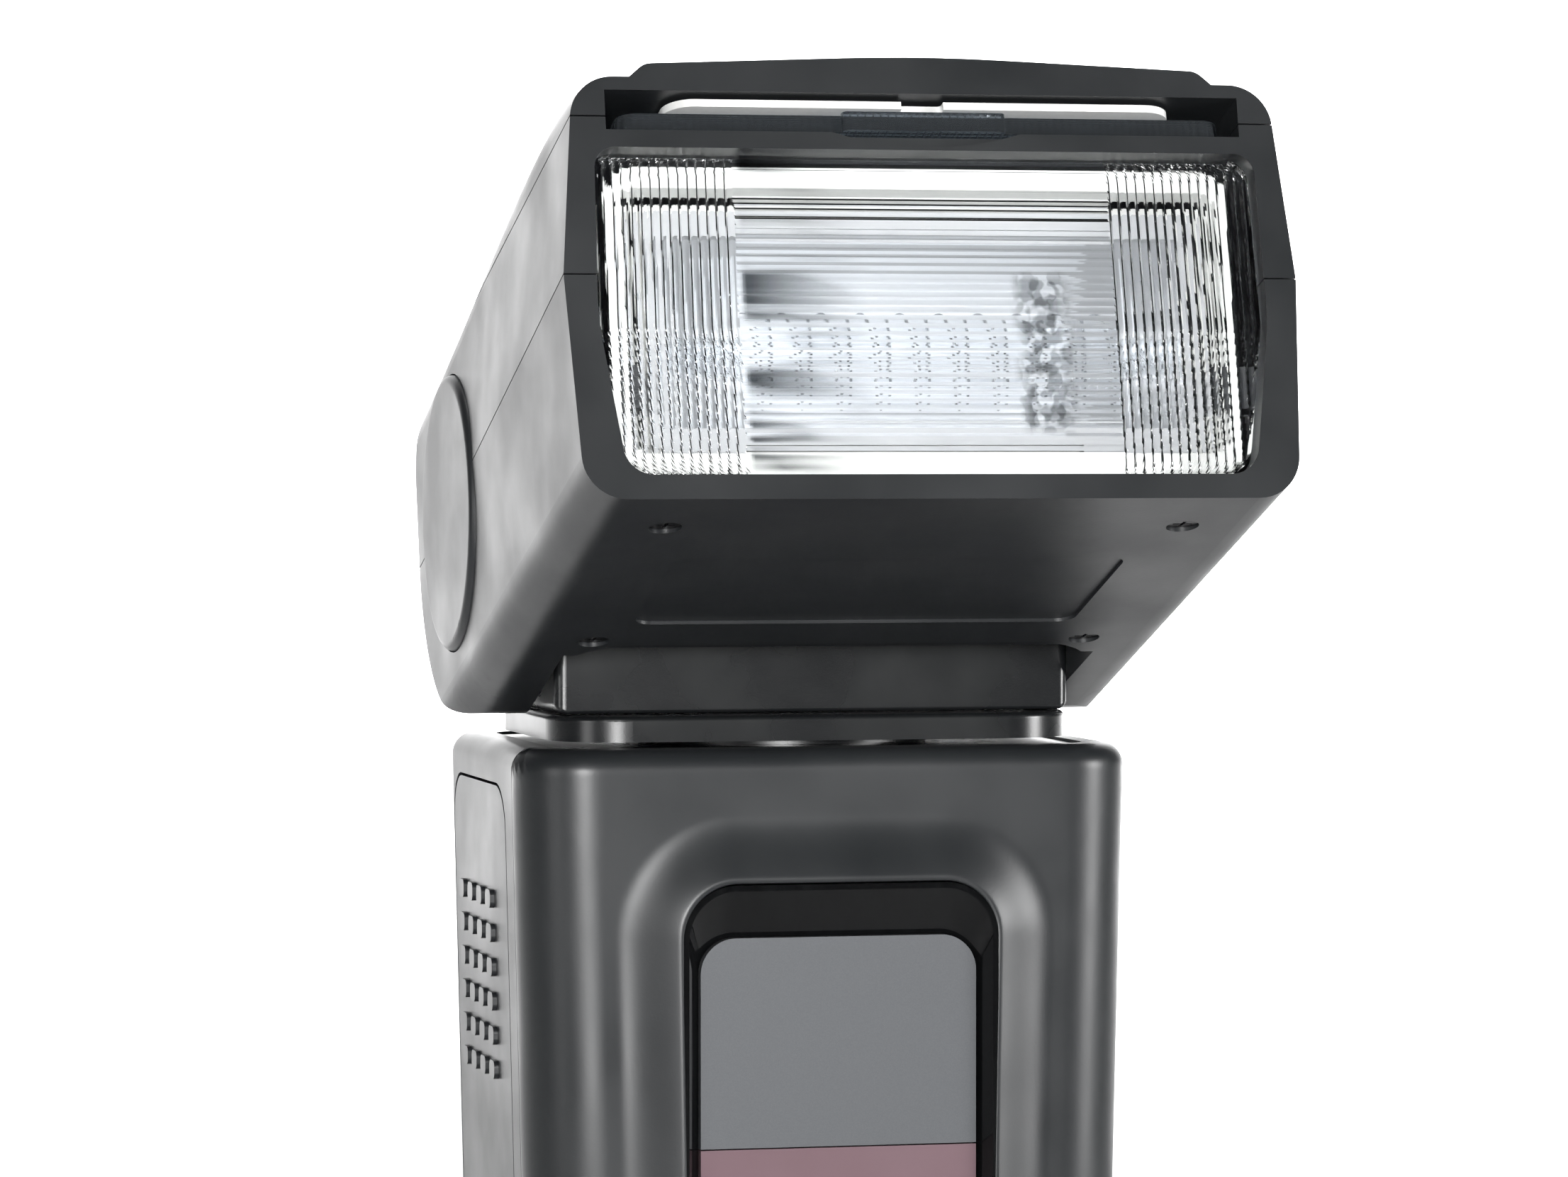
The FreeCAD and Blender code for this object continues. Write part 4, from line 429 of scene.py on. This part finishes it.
# %% Circuit board
def solder_mask(name, mask, track):
    """Green mask with paler tracks: a brick raster 1.3 mm by 5 mm stands in for the wiring."""
    material, output = new_material(name)
    place = add(material, COORDINATES)
    turn = add(material, MAPPING, Vector=(place, "Object"), Rotation=(math.pi / 2, 0.0, 0.0))
    tracks = add(material, "ShaderNodeTexBrick", {"offset": 0.37}, Vector=(turn, "Vector"), Scale=1 / MM,
                 Color1=linear(mask), Color2=linear(mask), Mortar=linear(track), Mortar_Size=0.16,
                 Brick_Width=5.0, Row_Height=1.3)
    bump = add(material, BUMP, Height=(tracks, "Fac"), Strength=0.4, Distance=0.03 * MM)
    shader = add(material, PRINCIPLED, Base_Color=(tracks, "Color"), Roughness=0.35,
                 Normal=(bump, "Normal"), IOR=1.50)
    return finish(material, output, shader)


paint(solder_mask("green_solder_mask", "0F4A25", "1E7A40"), "main_board", "control_board", "trigger_board",
      "af_assist_lamp")
paint(moulded_plastic("dark_shrink_sleeve", "1A2230", "141A26", 0.25, pit=0.8), "main_capacitor")
paint(moulded_plastic("sintered_ferrite", "2B2B2C", "202021", 0.60, pit=0.4), "power_transformer")

# %% [markdown]
# ## Rubber, keys and display
# The socket cover and the keys are moulded rubber: softer in gloss than the casing, with a
# faint bloom. The display is a grey-green liquid crystal under its clear cover.

# %% Rubber and display
cover_rubber = moulded_plastic("moulded_black_rubber", "232324", "1A1A1B", 0.62, pit=0.35)
key_rubber = moulded_plastic("soft_touch_key_rubber", "2C2D2F", "242527", 0.55, pit=0.28)
paint(cover_rubber, "port_cover")
paint(key_rubber, "mode_key", "slave_key", "test_button", "set_button",
      *[f"function_key_{i}" for i in range(1, 5)])


def liquid_crystal(name, colour, dark):
    """Display glass: a raster of fine dots 0.45 mm apart, just visible, on grey-green."""
    material, output = new_material(name)
    place = add(material, COORDINATES)
    turn = add(material, MAPPING, Vector=(place, "Object"), Rotation=(math.pi / 2, 0.0, 0.0))
    raster = add(material, "ShaderNodeTexBrick", {"offset": 0.0}, Vector=(turn, "Vector"), Scale=1 / MM,
                 Color1=linear(colour), Color2=linear(colour), Mortar=linear(dark), Mortar_Size=0.05,
                 Brick_Width=0.45, Row_Height=0.45)
    shader = add(material, PRINCIPLED, Base_Color=(raster, "Color"), Roughness=0.25, IOR=1.50)
    return finish(material, output, shader)


paint(liquid_crystal("grey_green_liquid_crystal", "6E7B68", "6A7664"), "lcd_module")

# %% [markdown]
# ## Making surfaces
# A piece is a grid of points worked out as whole arrays. Neighbouring rows and columns are
# joined by four-sided faces; a grid that closes on itself wraps round.

# %% From grid to mesh
def grid_faces(rows, columns, wrap_rows=False, wrap_columns=False):
    """Corner numbers of each four-sided face of a grid, row by row."""
    i = np.arange(rows if wrap_rows else rows - 1)[:, None]
    j = np.arange(columns if wrap_columns else columns - 1)[None, :]
    up, right = (i + 1) % rows, (j + 1) % columns
    corners = [i * columns + j, i * columns + right, up * columns + right, up * columns + j]
    return np.stack([np.broadcast_to(c, (i.size, j.size)) for c in corners], axis=-1).reshape(-1, 4)


def mesh_object(name, points, faces, material, smooth=True):
    """A mesh object from points in metres and a list or array of faces, painted and linked."""
    mesh = bpy.data.meshes.new(name)
    faces = faces.tolist() if isinstance(faces, np.ndarray) else faces
    mesh.from_pydata(points.reshape(-1, 3).tolist(), [], faces)
    mesh.materials.append(material)
    mesh.polygons.foreach_set("use_smooth", np.full(len(mesh.polygons), smooth))
    mesh.update()
    shape = bpy.data.objects.new(name, mesh)
    bpy.context.scene.collection.objects.link(shape)
    print(name, "has", len(mesh.polygons), "faces")
    return shape


def make_piece(name, points, faces, material, body, smooth=True):
    """A mesh object that rides on one of the flash's bodies."""
    piece = mesh_object(name, points, faces, material, smooth)
    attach(piece, body)
    return piece


def thicken(piece, thickness):
    """Gives a thin surface its wall, inwards from the drawn side."""
    wall = piece.modifiers.new("moulded_wall", "SOLIDIFY")
    wall.thickness = thickness * MM
    wall.offset = -1.0


# %% [markdown]
# ## The swelling front
# The casing's front does not lie flat: it swells softly up to the rim of the window frame, and
# that swell draws the long soft highlights down both sides of the window. CAD could only cut it
# as flat facets. Here the whole front shell is one surface. Its grid runs from the window's rim
# out to the shell's edge, and two smooth functions place it: one wraps it round the casing,
# the other lifts it near the rim.

# %% Sizes of the front shell, in millimetres
case_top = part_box("body_rear_shell")[1][2] / MM
case_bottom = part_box("body_base_plate")[0][2] / MM
case_half_top = 34.0
case_lean = 0.024
case_front = -26.0
corner_r = 8.0
top_r = 2.4
seam_y = -17.58
rim_half, rim_low, rim_high, rim_r = 17.5, 19.0, case_top - 14.3, 6.0
rim_rise = -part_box("body_front_shell")[0][1] / MM + case_front
swell_reach = 7.2
shell_wall = 1.6
print("rim stands", round(rim_rise, 2), "mm proud of the casing")


# %% Wrap and swell
def wrap_front(s, t):
    """Unrolled (s across, t up) to casing (x, y, z). Across: flat front, quarter-round corner of
    radius 8, short side. Up: leaning wall, quarter-round top edge of radius 2.4, flat rim."""
    flat = case_half_top - corner_r
    knee = case_top - top_r
    turn = np.clip((t - knee) / top_r, 0, math.pi / 2)
    over = np.clip(t - knee - top_r * math.pi / 2, 0, None)
    z = np.minimum(t, knee) + top_r * np.sin(turn)
    inset = top_r * (1 - np.cos(turn)) + over
    half = case_half_top - case_lean * (case_top - z)
    bend = np.clip((np.abs(s) - flat) / corner_r, 0, math.pi / 2)
    side = np.clip(np.abs(s) - flat - corner_r * math.pi / 2, 0, None)
    straight = np.minimum(np.abs(s), flat) * (half - corner_r) / flat
    x = np.sign(s) * (straight + (corner_r - inset) * np.sin(bend))
    y = case_front + corner_r - (corner_r - inset) * np.cos(bend) + side
    return x, y, z


def rim_distance(s, t):
    """Distance outside the window rim's rounded rectangle; below the rim it counts double."""
    middle, tall = (rim_low + rim_high) / 2, (rim_high - rim_low) / 2
    drop = np.where(t < middle, 2.0, 1.0)
    across = np.abs(s) - rim_half + rim_r
    up = np.abs(t - middle) - tall + rim_r
    up = np.where(up > rim_r, rim_r + (up - rim_r) * drop, up)
    outside = np.hypot(np.clip(across, 0, None), np.clip(up, 0, None))
    return outside + np.minimum(np.maximum(across, up), 0) - rim_r


def swell(distance):
    """Height of the swell: 1 at the rim, falling as (1 - u)^2 (1 + 1.2 u), with a rounded lip."""
    u = np.clip(distance / swell_reach, 0, 1)
    lip = 1 - np.clip(1 - distance / 0.7, 0, 1) ** 2 * 0.12
    return rim_rise * (1 - u) ** 2 * (1 + 1.2 * u) * lip


# %% Rays from the rim to the shell's edge
def rim_points(angles):
    """Points of the rim's rounded rectangle seen from its middle at each angle."""
    corners = np.linspace(0, math.pi / 2, 41)
    middle, tall = (rim_low + rim_high) / 2, (rim_high - rim_low) / 2
    outline = [np.stack([cx * (rim_half - rim_r) + rim_r * np.cos(corners + q * math.pi / 2),
                         cy * (tall - rim_r) + rim_r * np.sin(corners + q * math.pi / 2)], axis=-1)
               for q, (cx, cy) in enumerate([(1, 1), (-1, 1), (-1, -1), (1, -1)])]
    ring = np.concatenate(outline)
    steps = np.linspace(0, 1, 60, endpoint=False)[:, None, None]
    ring = ring[None] * (1 - steps) + np.roll(ring, -1, axis=0)[None] * steps
    ring = ring.transpose(1, 0, 2).reshape(-1, 2)
    seen = np.unwrap(np.arctan2(ring[:, 1], ring[:, 0]))
    order = np.argsort(seen % (2 * math.pi))
    seen = (seen % (2 * math.pi))[order]
    s = np.interp(angles, seen, ring[order, 0], period=2 * math.pi)
    t = np.interp(angles, seen, ring[order, 1], period=2 * math.pi)
    return s, t + middle


def front_grid(rays=360, rings=72):
    """The unrolled shell as rings: each ray runs from the rim to the edge of the unrolled sheet."""
    middle = (rim_low + rim_high) / 2
    reach = case_half_top - corner_r + corner_r * math.pi / 2 + seam_y - case_front - corner_r
    top = case_top - top_r + top_r * math.pi / 2 + 2.1
    corner = [math.atan2(t - middle, s) % (2 * math.pi) for s in (-reach, reach)
              for t in (case_bottom, top)]
    angles = np.unique(np.concatenate([np.linspace(0, 2 * math.pi, rays, endpoint=False), corner]))
    s0, t0 = rim_points(angles)
    along = np.stack([np.cos(angles), np.sin(angles)])
    limit_s = reach / np.maximum(np.abs(along[0]), 1e-9)
    limit_t = np.where(along[1] > 0, top - middle, middle - case_bottom)
    limit = np.minimum(limit_s, limit_t / np.maximum(np.abs(along[1]), 1e-9))
    s1, t1 = limit * along[0], middle + limit * along[1]
    share = np.linspace(0, 1, rings)[:, None] ** 1.15
    return s0 + (s1 - s0) * share, t0 + (t1 - t0) * share


# %% Build the front shell
s, t = front_grid()
x, y, z = wrap_front(s, t)
height = swell(rim_distance(s, t))
front_points = np.stack([x, y - height, z], axis=-1) * MM
front_faces = grid_faces(*s.shape, wrap_columns=True)[:, ::-1]
front_shell = make_piece("front_shell_skin", front_points, front_faces, casing_abs, "body")
thicken(front_shell, shell_wall)
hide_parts("body_front_shell")

# %% [markdown]
# ## The ribbed lens
# The front lens is smooth outside and ribbed inside. Upright ribs at both ends throw light
# sideways, and fine level ribs in the middle spread it up and down. The dark streaks that the
# ribs would mirror are painted into the lens's colour as painted reflection. The plate is two
# grids, front and back, with the same outline, joined round the edge.

# %% Lens outline and ribs
LENS_FRONT = 69.0
LENS_THICK = 2.0
LENS_LOW, LENS_HIGH = -11.75, 21.45
LOW_R, HIGH_R = 3.0, 2.2
# Rounding leaves this a hair under HIGH_R ** 2, so the lens's topmost row is not a number.
HIGH_R_SQUARE = 4.84
END_ZONE, WIDEST_HALF = 19.6, 34.55
END_PITCH, END_DEPTH = 0.96, 0.26
MID_PITCH, MID_DEPTH = 0.80, 0.10


def lens_half(b):
    """Half the lens's width at height b: a gentle bow, with rounded corners of 3 and 2.2 mm."""
    bow = 32.25 + 2.3 * np.clip((b - LENS_LOW) / 15.75, 0, 1) - 0.4 * np.clip((b - 4) / 17.5, 0, 1)
    low = np.clip(LOW_R - (b - LENS_LOW), 0, LOW_R)
    high = np.clip(HIGH_R - (LENS_HIGH - b), 0, HIGH_R)
    return bow - (LOW_R - np.sqrt(LOW_R ** 2 - low ** 2)) - (HIGH_R - np.sqrt(HIGH_R_SQUARE - high ** 2))


def lens_columns():
    """Column places across the lens as shares of its half width: six per end rib, few between."""
    ribs = np.arange(END_ZONE, WIDEST_HALF, END_PITCH / 6) / WIDEST_HALF
    middle = np.linspace(-END_ZONE, END_ZONE, 15)[1:-1] / WIDEST_HALF
    return np.concatenate([[-1.0], -ribs[::-1], middle, ribs, [1.0]])


def rib_height(x, b):
    """Depth of the ribs: |sin| bows, upright at the ends and level in the middle."""
    end = END_DEPTH * np.abs(np.sin(math.pi * (np.abs(x) - END_ZONE) / END_PITCH))
    level = MID_DEPTH * np.abs(np.sin(math.pi * b / MID_PITCH))
    return np.where(np.abs(x) > END_ZONE - 0.01, end, level)


# %% Build the lens
rows = int((LENS_HIGH - LENS_LOW) / MID_PITCH * 4)
ease = 1 - np.cos(np.linspace(0, math.pi / 2, 10))
straight_rows = np.linspace(LENS_LOW + LOW_R, LENS_HIGH - HIGH_R, rows)
b_rows = np.concatenate([LENS_LOW + LOW_R * ease, straight_rows, LENS_HIGH - HIGH_R * ease])
b_rows = np.unique(b_rows)[:, None]
lens_x = lens_half(b_rows) * lens_columns()[None, :]
lens_b = np.broadcast_to(b_rows, lens_x.shape)
front_face = head_to_world(lens_x, LENS_FRONT, lens_b)
back_face = head_to_world(lens_x, LENS_FRONT - LENS_THICK - rib_height(lens_x, lens_b), lens_b)
count = lens_x.size
front_quads = grid_faces(*lens_x.shape)
number = np.arange(count).reshape(lens_x.shape)
border = np.concatenate([number[0, :-1], number[:-1, -1], number[-1, :0:-1], number[:0:-1, 0]])
ahead = np.roll(border, -1)
edge_quads = np.stack([border, border + count, ahead + count, ahead], axis=-1)
lens_faces = np.concatenate([front_quads, front_quads[:, ::-1] + count, edge_quads])
lens = make_piece("ribbed_lens", np.concatenate([front_face.reshape(-1, 3), back_face.reshape(-1, 3)]),
                  lens_faces, lens_acrylic, "head", smooth=False)
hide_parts("fresnel_lens")

# %% [markdown]
# ## White shades behind the lens
# No light may be lost in the dark casing, so two white mouldings close the gap round the
# reflector. One is a plate round the reflector's mouth, which zooms with it. The other is a
# stepped funnel, which runs forward from that plate's outline, past the posts of the guide
# rods, and then out to the edge of the lens.

# %% Shade plate and funnel
SHADE_X, SHADE_LOW, SHADE_HIGH = 31.0, -8.5, 18.5
MOUTH_X, MOUTH_LOW, MOUTH_HIGH = 27.8, -6.0, 15.7
SHADE_A, FUNNEL_A, LENS_BACK_A = 59.8, 61.9, 66.0
SHADE_WALL = 0.7


def rounded_loop(half, low, high, radius, a, bow=0.0, arc=9):
    """A rounded rectangle as one ring of points in the head frame, bowed out sideways by bow."""
    f = np.linspace(0, math.pi / 2, arc)
    middle, tall = (low + high) / 2, (high - low) / 2
    corners = [np.stack([cx * (half - radius) + radius * np.cos(f + q * math.pi / 2),
                         cy * (tall - radius) + radius * np.sin(f + q * math.pi / 2)], axis=-1)
               for q, (cx, cy) in enumerate([(1, 1), (-1, 1), (-1, -1), (1, -1)])]
    loop = np.concatenate(corners)
    wide = 1 + bow * (1 - (loop[:, 1] / tall) ** 2)
    return head_to_world(loop[:, 0] * wide, np.full(len(loop), a), loop[:, 1] + middle)


def skin_of(loops):
    """Faces that join a stack of closed rings, each to the next."""
    return grid_faces(len(loops), loops.shape[1], wrap_columns=True)[:, ::-1]


plate_loops = np.stack([rounded_loop(MOUTH_X, MOUTH_LOW, MOUTH_HIGH, 1.0, SHADE_A),
                        rounded_loop(SHADE_X, SHADE_LOW, SHADE_HIGH, 2.0, SHADE_A)])
shade_plate = make_piece("zoom_shade_plate", plate_loops, skin_of(plate_loops), nylon, "carriage",
                         smooth=False)
funnel_low, funnel_high = SHADE_LOW - 0.2, SHADE_HIGH + 0.2
funnel_loops = np.stack([rounded_loop(SHADE_X + 0.2, funnel_low, funnel_high, 2.0, FUNNEL_A),
                         rounded_loop(SHADE_X + 0.3, funnel_low, funnel_high, 2.0, LENS_BACK_A - 0.4),
                         rounded_loop(32.0, LENS_LOW + 0.7, LENS_HIGH - 0.7, 2.5, LENS_BACK_A, bow=0.055)])
funnel = make_piece("lens_funnel", funnel_loops, skin_of(funnel_loops), nylon, "head", smooth=False)
for piece in (shade_plate, funnel):
    thicken(piece, SHADE_WALL)

# %% [markdown]
# ## Wires and springs
# A wire is a circle carried along a path. The flash tube has a thin nickel wire wound round it
# that fires the gas, and each cell in the battery bay sits on a conical coil spring.

# %% A circle carried along a path
def carry_circle(path, radius, sides=8):
    """Points of a tube: at each path point, radius (cos f n + sin f m), n and m square to the path."""
    ahead = np.gradient(path, axis=0)
    ahead /= np.linalg.norm(ahead, axis=1, keepdims=True)
    helper = np.array([0.0, 0.0, 1.0]) if abs(ahead[:, 2]).max() < 0.9 else np.array([0.0, 1.0, 0.0])
    n = np.cross(ahead, helper)
    n /= np.linalg.norm(n, axis=1, keepdims=True)
    m = np.cross(ahead, n)
    f = np.linspace(0, 2 * math.pi, sides, endpoint=False)[None, :, None]
    return path[:, None, :] + radius * (np.cos(f) * n[:, None, :] + np.sin(f) * m[:, None, :])


def capped_faces(rows, sides, start=0):
    """Faces of a tube of rings, with one many-sided face closing each end."""
    tube = [tuple(face) for face in grid_faces(rows, sides, wrap_columns=True)[:, ::-1] + start]
    first = tuple(range(start, start + sides))
    last = tuple(range(start + rows * sides - 1, start + (rows - 1) * sides - 1, -1))
    return tube + [first, last]


# %% Trigger wire round the flash tube
tube_low, tube_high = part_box("flash_tube")
tube_y = (tube_low[1] + tube_high[1]) / 2 / MM
tube_z = (tube_low[2] + tube_high[2]) / 2 / MM
WIRE_R, COIL_R, COIL_PITCH, COIL_HALF = 0.14, 2.24, 4.2, 25.0
WIRE_STEPS, WIRE_SIDES = 420, 6
turn = np.linspace(0, 2 * math.pi * 2 * COIL_HALF / COIL_PITCH, WIRE_STEPS)
wire_path = np.stack([-COIL_HALF + COIL_PITCH * turn / (2 * math.pi), tube_y + COIL_R * np.cos(turn),
                      tube_z + COIL_R * np.sin(turn)], axis=-1) * MM
make_piece("trigger_wire", carry_circle(wire_path, WIRE_R * MM, WIRE_SIDES),
           capped_faces(WIRE_STEPS, WIRE_SIDES), plated_steel, "carriage")
print("trigger wire turns:", round(turn[-1] / (2 * math.pi), 1))

# %% [markdown]
# Each cell's spring is a spiral that rises as it closes in, so it can press flat. All four are
# one piece, standing where the CAD contacts stand.

# %% Battery springs
spring_low, spring_high = [np.array(corner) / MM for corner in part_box("tray_contacts")]
SPRING_WIRE, SPRING_BASE, SPRING_TOP, SPRING_TURNS = 0.28, 4.3, 1.5, 3.0
SPRING_IN = 4.6
SPRING_STEPS = 160
grow = np.linspace(0, 1, SPRING_STEPS)
spin = 2 * math.pi * SPRING_TURNS * grow
coil_r = SPRING_BASE + (SPRING_TOP - SPRING_BASE) * grow
rise = spring_high[0] - SPRING_WIRE - (spring_high[0] - spring_low[0] - 2 * SPRING_WIRE) * grow
spring_points, spring_faces = [], []
for cell_y in (spring_low[1] + SPRING_IN, spring_high[1] - SPRING_IN):
    for cell_z in (spring_low[2] + SPRING_IN, spring_high[2] - SPRING_IN):
        coil_y, coil_z = cell_y + coil_r * np.cos(spin), cell_z + coil_r * np.sin(spin)
        path = np.stack([rise, coil_y, coil_z], axis=-1) * MM
        start = SPRING_STEPS * WIRE_SIDES * len(spring_points)
        spring_faces += capped_faces(SPRING_STEPS, WIRE_SIDES, start)
        spring_points.append(carry_circle(path, SPRING_WIRE * MM, WIRE_SIDES).reshape(-1, 3))
springs = make_piece("battery_springs", np.concatenate(spring_points), spring_faces, plated_steel, "body")
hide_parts("tray_contacts")
print("battery springs:", len(spring_points))

# %% [markdown]
# ## Studio
# A pale sweep of paper, one soft light on each side, one in front, one above and a strong one
# behind that turns the paper white. The side lights draw the long highlights on the casing's
# corners. The underside of the head stays dark because little light comes from below.

# %% Paper sweep
paper, paper_out = new_material("matt_white_paper")
grain_place = add(paper, COORDINATES)
grain = add(paper, NOISE, Vector=(grain_place, "Object"), Scale=400.0, Detail=2.0)
paper_tint = add(paper, MIX, _0=(grain, "Fac"), _1=linear("F4F4F4"), _2=linear("FBFBFB"))
matt = add(paper, PRINCIPLED, Base_Color=(paper_tint, "Color"), Roughness=0.9)
finish(paper, paper_out, matt)
SWEEP_START, SWEEP_BEND_Y, SWEEP_R, SWEEP_WALL, SWEEP_HALF = -3.0, 1.6, 0.8, 3.0, 4.0
SWEEP_ROWS, SWEEP_COLUMNS = 60, 9
level_run = SWEEP_BEND_Y - SWEEP_START
quarter = SWEEP_R * math.pi / 2
floor_x = np.linspace(-SWEEP_HALF, SWEEP_HALF, SWEEP_COLUMNS)[None, :]
run = np.linspace(0, 1, SWEEP_ROWS)[:, None] * (level_run + quarter + SWEEP_WALL)
bend = np.clip((run - level_run) / SWEEP_R, 0, math.pi / 2)
climb = np.clip(run - level_run - quarter, 0, None)
sweep_y = SWEEP_START + np.minimum(run, level_run) + SWEEP_R * np.sin(bend)
sweep_z = SWEEP_R * (1 - np.cos(bend)) + climb
sweep_points = np.stack(np.broadcast_arrays(floor_x, sweep_y, sweep_z), axis=-1)
mesh_object("paper_sweep", sweep_points, grid_faces(SWEEP_ROWS, SWEEP_COLUMNS), paper)


# %% Lights
def soft_light(name, place, aim, width, height, watts, spread):
    """A rectangular soft light at place, turned to face aim, its grid letting out spread degrees."""
    lamp = bpy.data.lights.new(name, "AREA")
    lamp.shape = "RECTANGLE"
    lamp.size, lamp.size_y, lamp.energy = width, height, watts
    lamp.spread = math.radians(spread)
    light = bpy.data.objects.new(name, lamp)
    ahead = np.array(aim) - np.array(place)
    yaw = math.atan2(ahead[0], -ahead[1])
    pitch = math.atan2(math.hypot(ahead[0], ahead[1]), -ahead[2])
    light.location = place
    light.rotation_euler = (pitch, 0.0, math.pi + yaw)
    bpy.context.scene.collection.objects.link(light)
    return light


AIM = (0.0, -0.01, 0.11)
soft_light("left_softbox", (-0.95, -0.55, 0.16), AIM, 0.35, 0.5, 0.14, 40)
soft_light("right_softbox", (0.90, -0.55, 0.18), AIM, 0.35, 0.5, 0.70, 40)
soft_light("front_softbox", (-0.30, -1.3, 0.22), AIM, 0.5, 0.35, 0.66, 26)
soft_light("top_softbox", (0.0, 0.05, 0.90), AIM, 0.4, 0.4, 0.12, 30)
soft_light("backdrop_light", (0.75, 1.15, 1.3), (0.55, 1.9, 0.2), 1.6, 0.8, 104.0, 152)
world = bpy.data.worlds.new("studio_air")
world.use_nodes = True
world.node_tree.nodes["Background"].inputs["Color"].default_value = linear("E8ECF0")
world.node_tree.nodes["Background"].inputs["Strength"].default_value = 0.05
bpy.context.scene.world = world
bpy.context.scene.view_settings.view_transform = "Standard"

# %% [markdown]
# ## Camera
# A long lens from far enough away to keep the lines nearly parallel, a little to the left of the
# lamp's axis and just above level, aimed between the head and the casing.

# %% Camera
YAW, PITCH = math.radians(13.3), math.radians(1.4)
DISTANCE = 0.664
target = np.array([0.0003, 0.0, case_top * MM + 0.0165])
look = np.array([math.sin(YAW) * math.cos(PITCH), math.cos(YAW) * math.cos(PITCH), -math.sin(PITCH)])
lens_data = bpy.data.cameras.new("studio_camera")
lens_data.lens = 136.7
lens_data.sensor_width = 36.0
lens_data.clip_start, lens_data.clip_end = 0.01, 20.0
camera = bpy.data.objects.new("studio_camera", lens_data)
camera.location = target - DISTANCE * look
camera.rotation_euler = (math.pi / 2 - PITCH, 0.0, -YAW)
bpy.context.scene.collection.objects.link(camera)
bpy.context.scene.camera = camera
print("camera at", [round(v, 3) for v in camera.location])
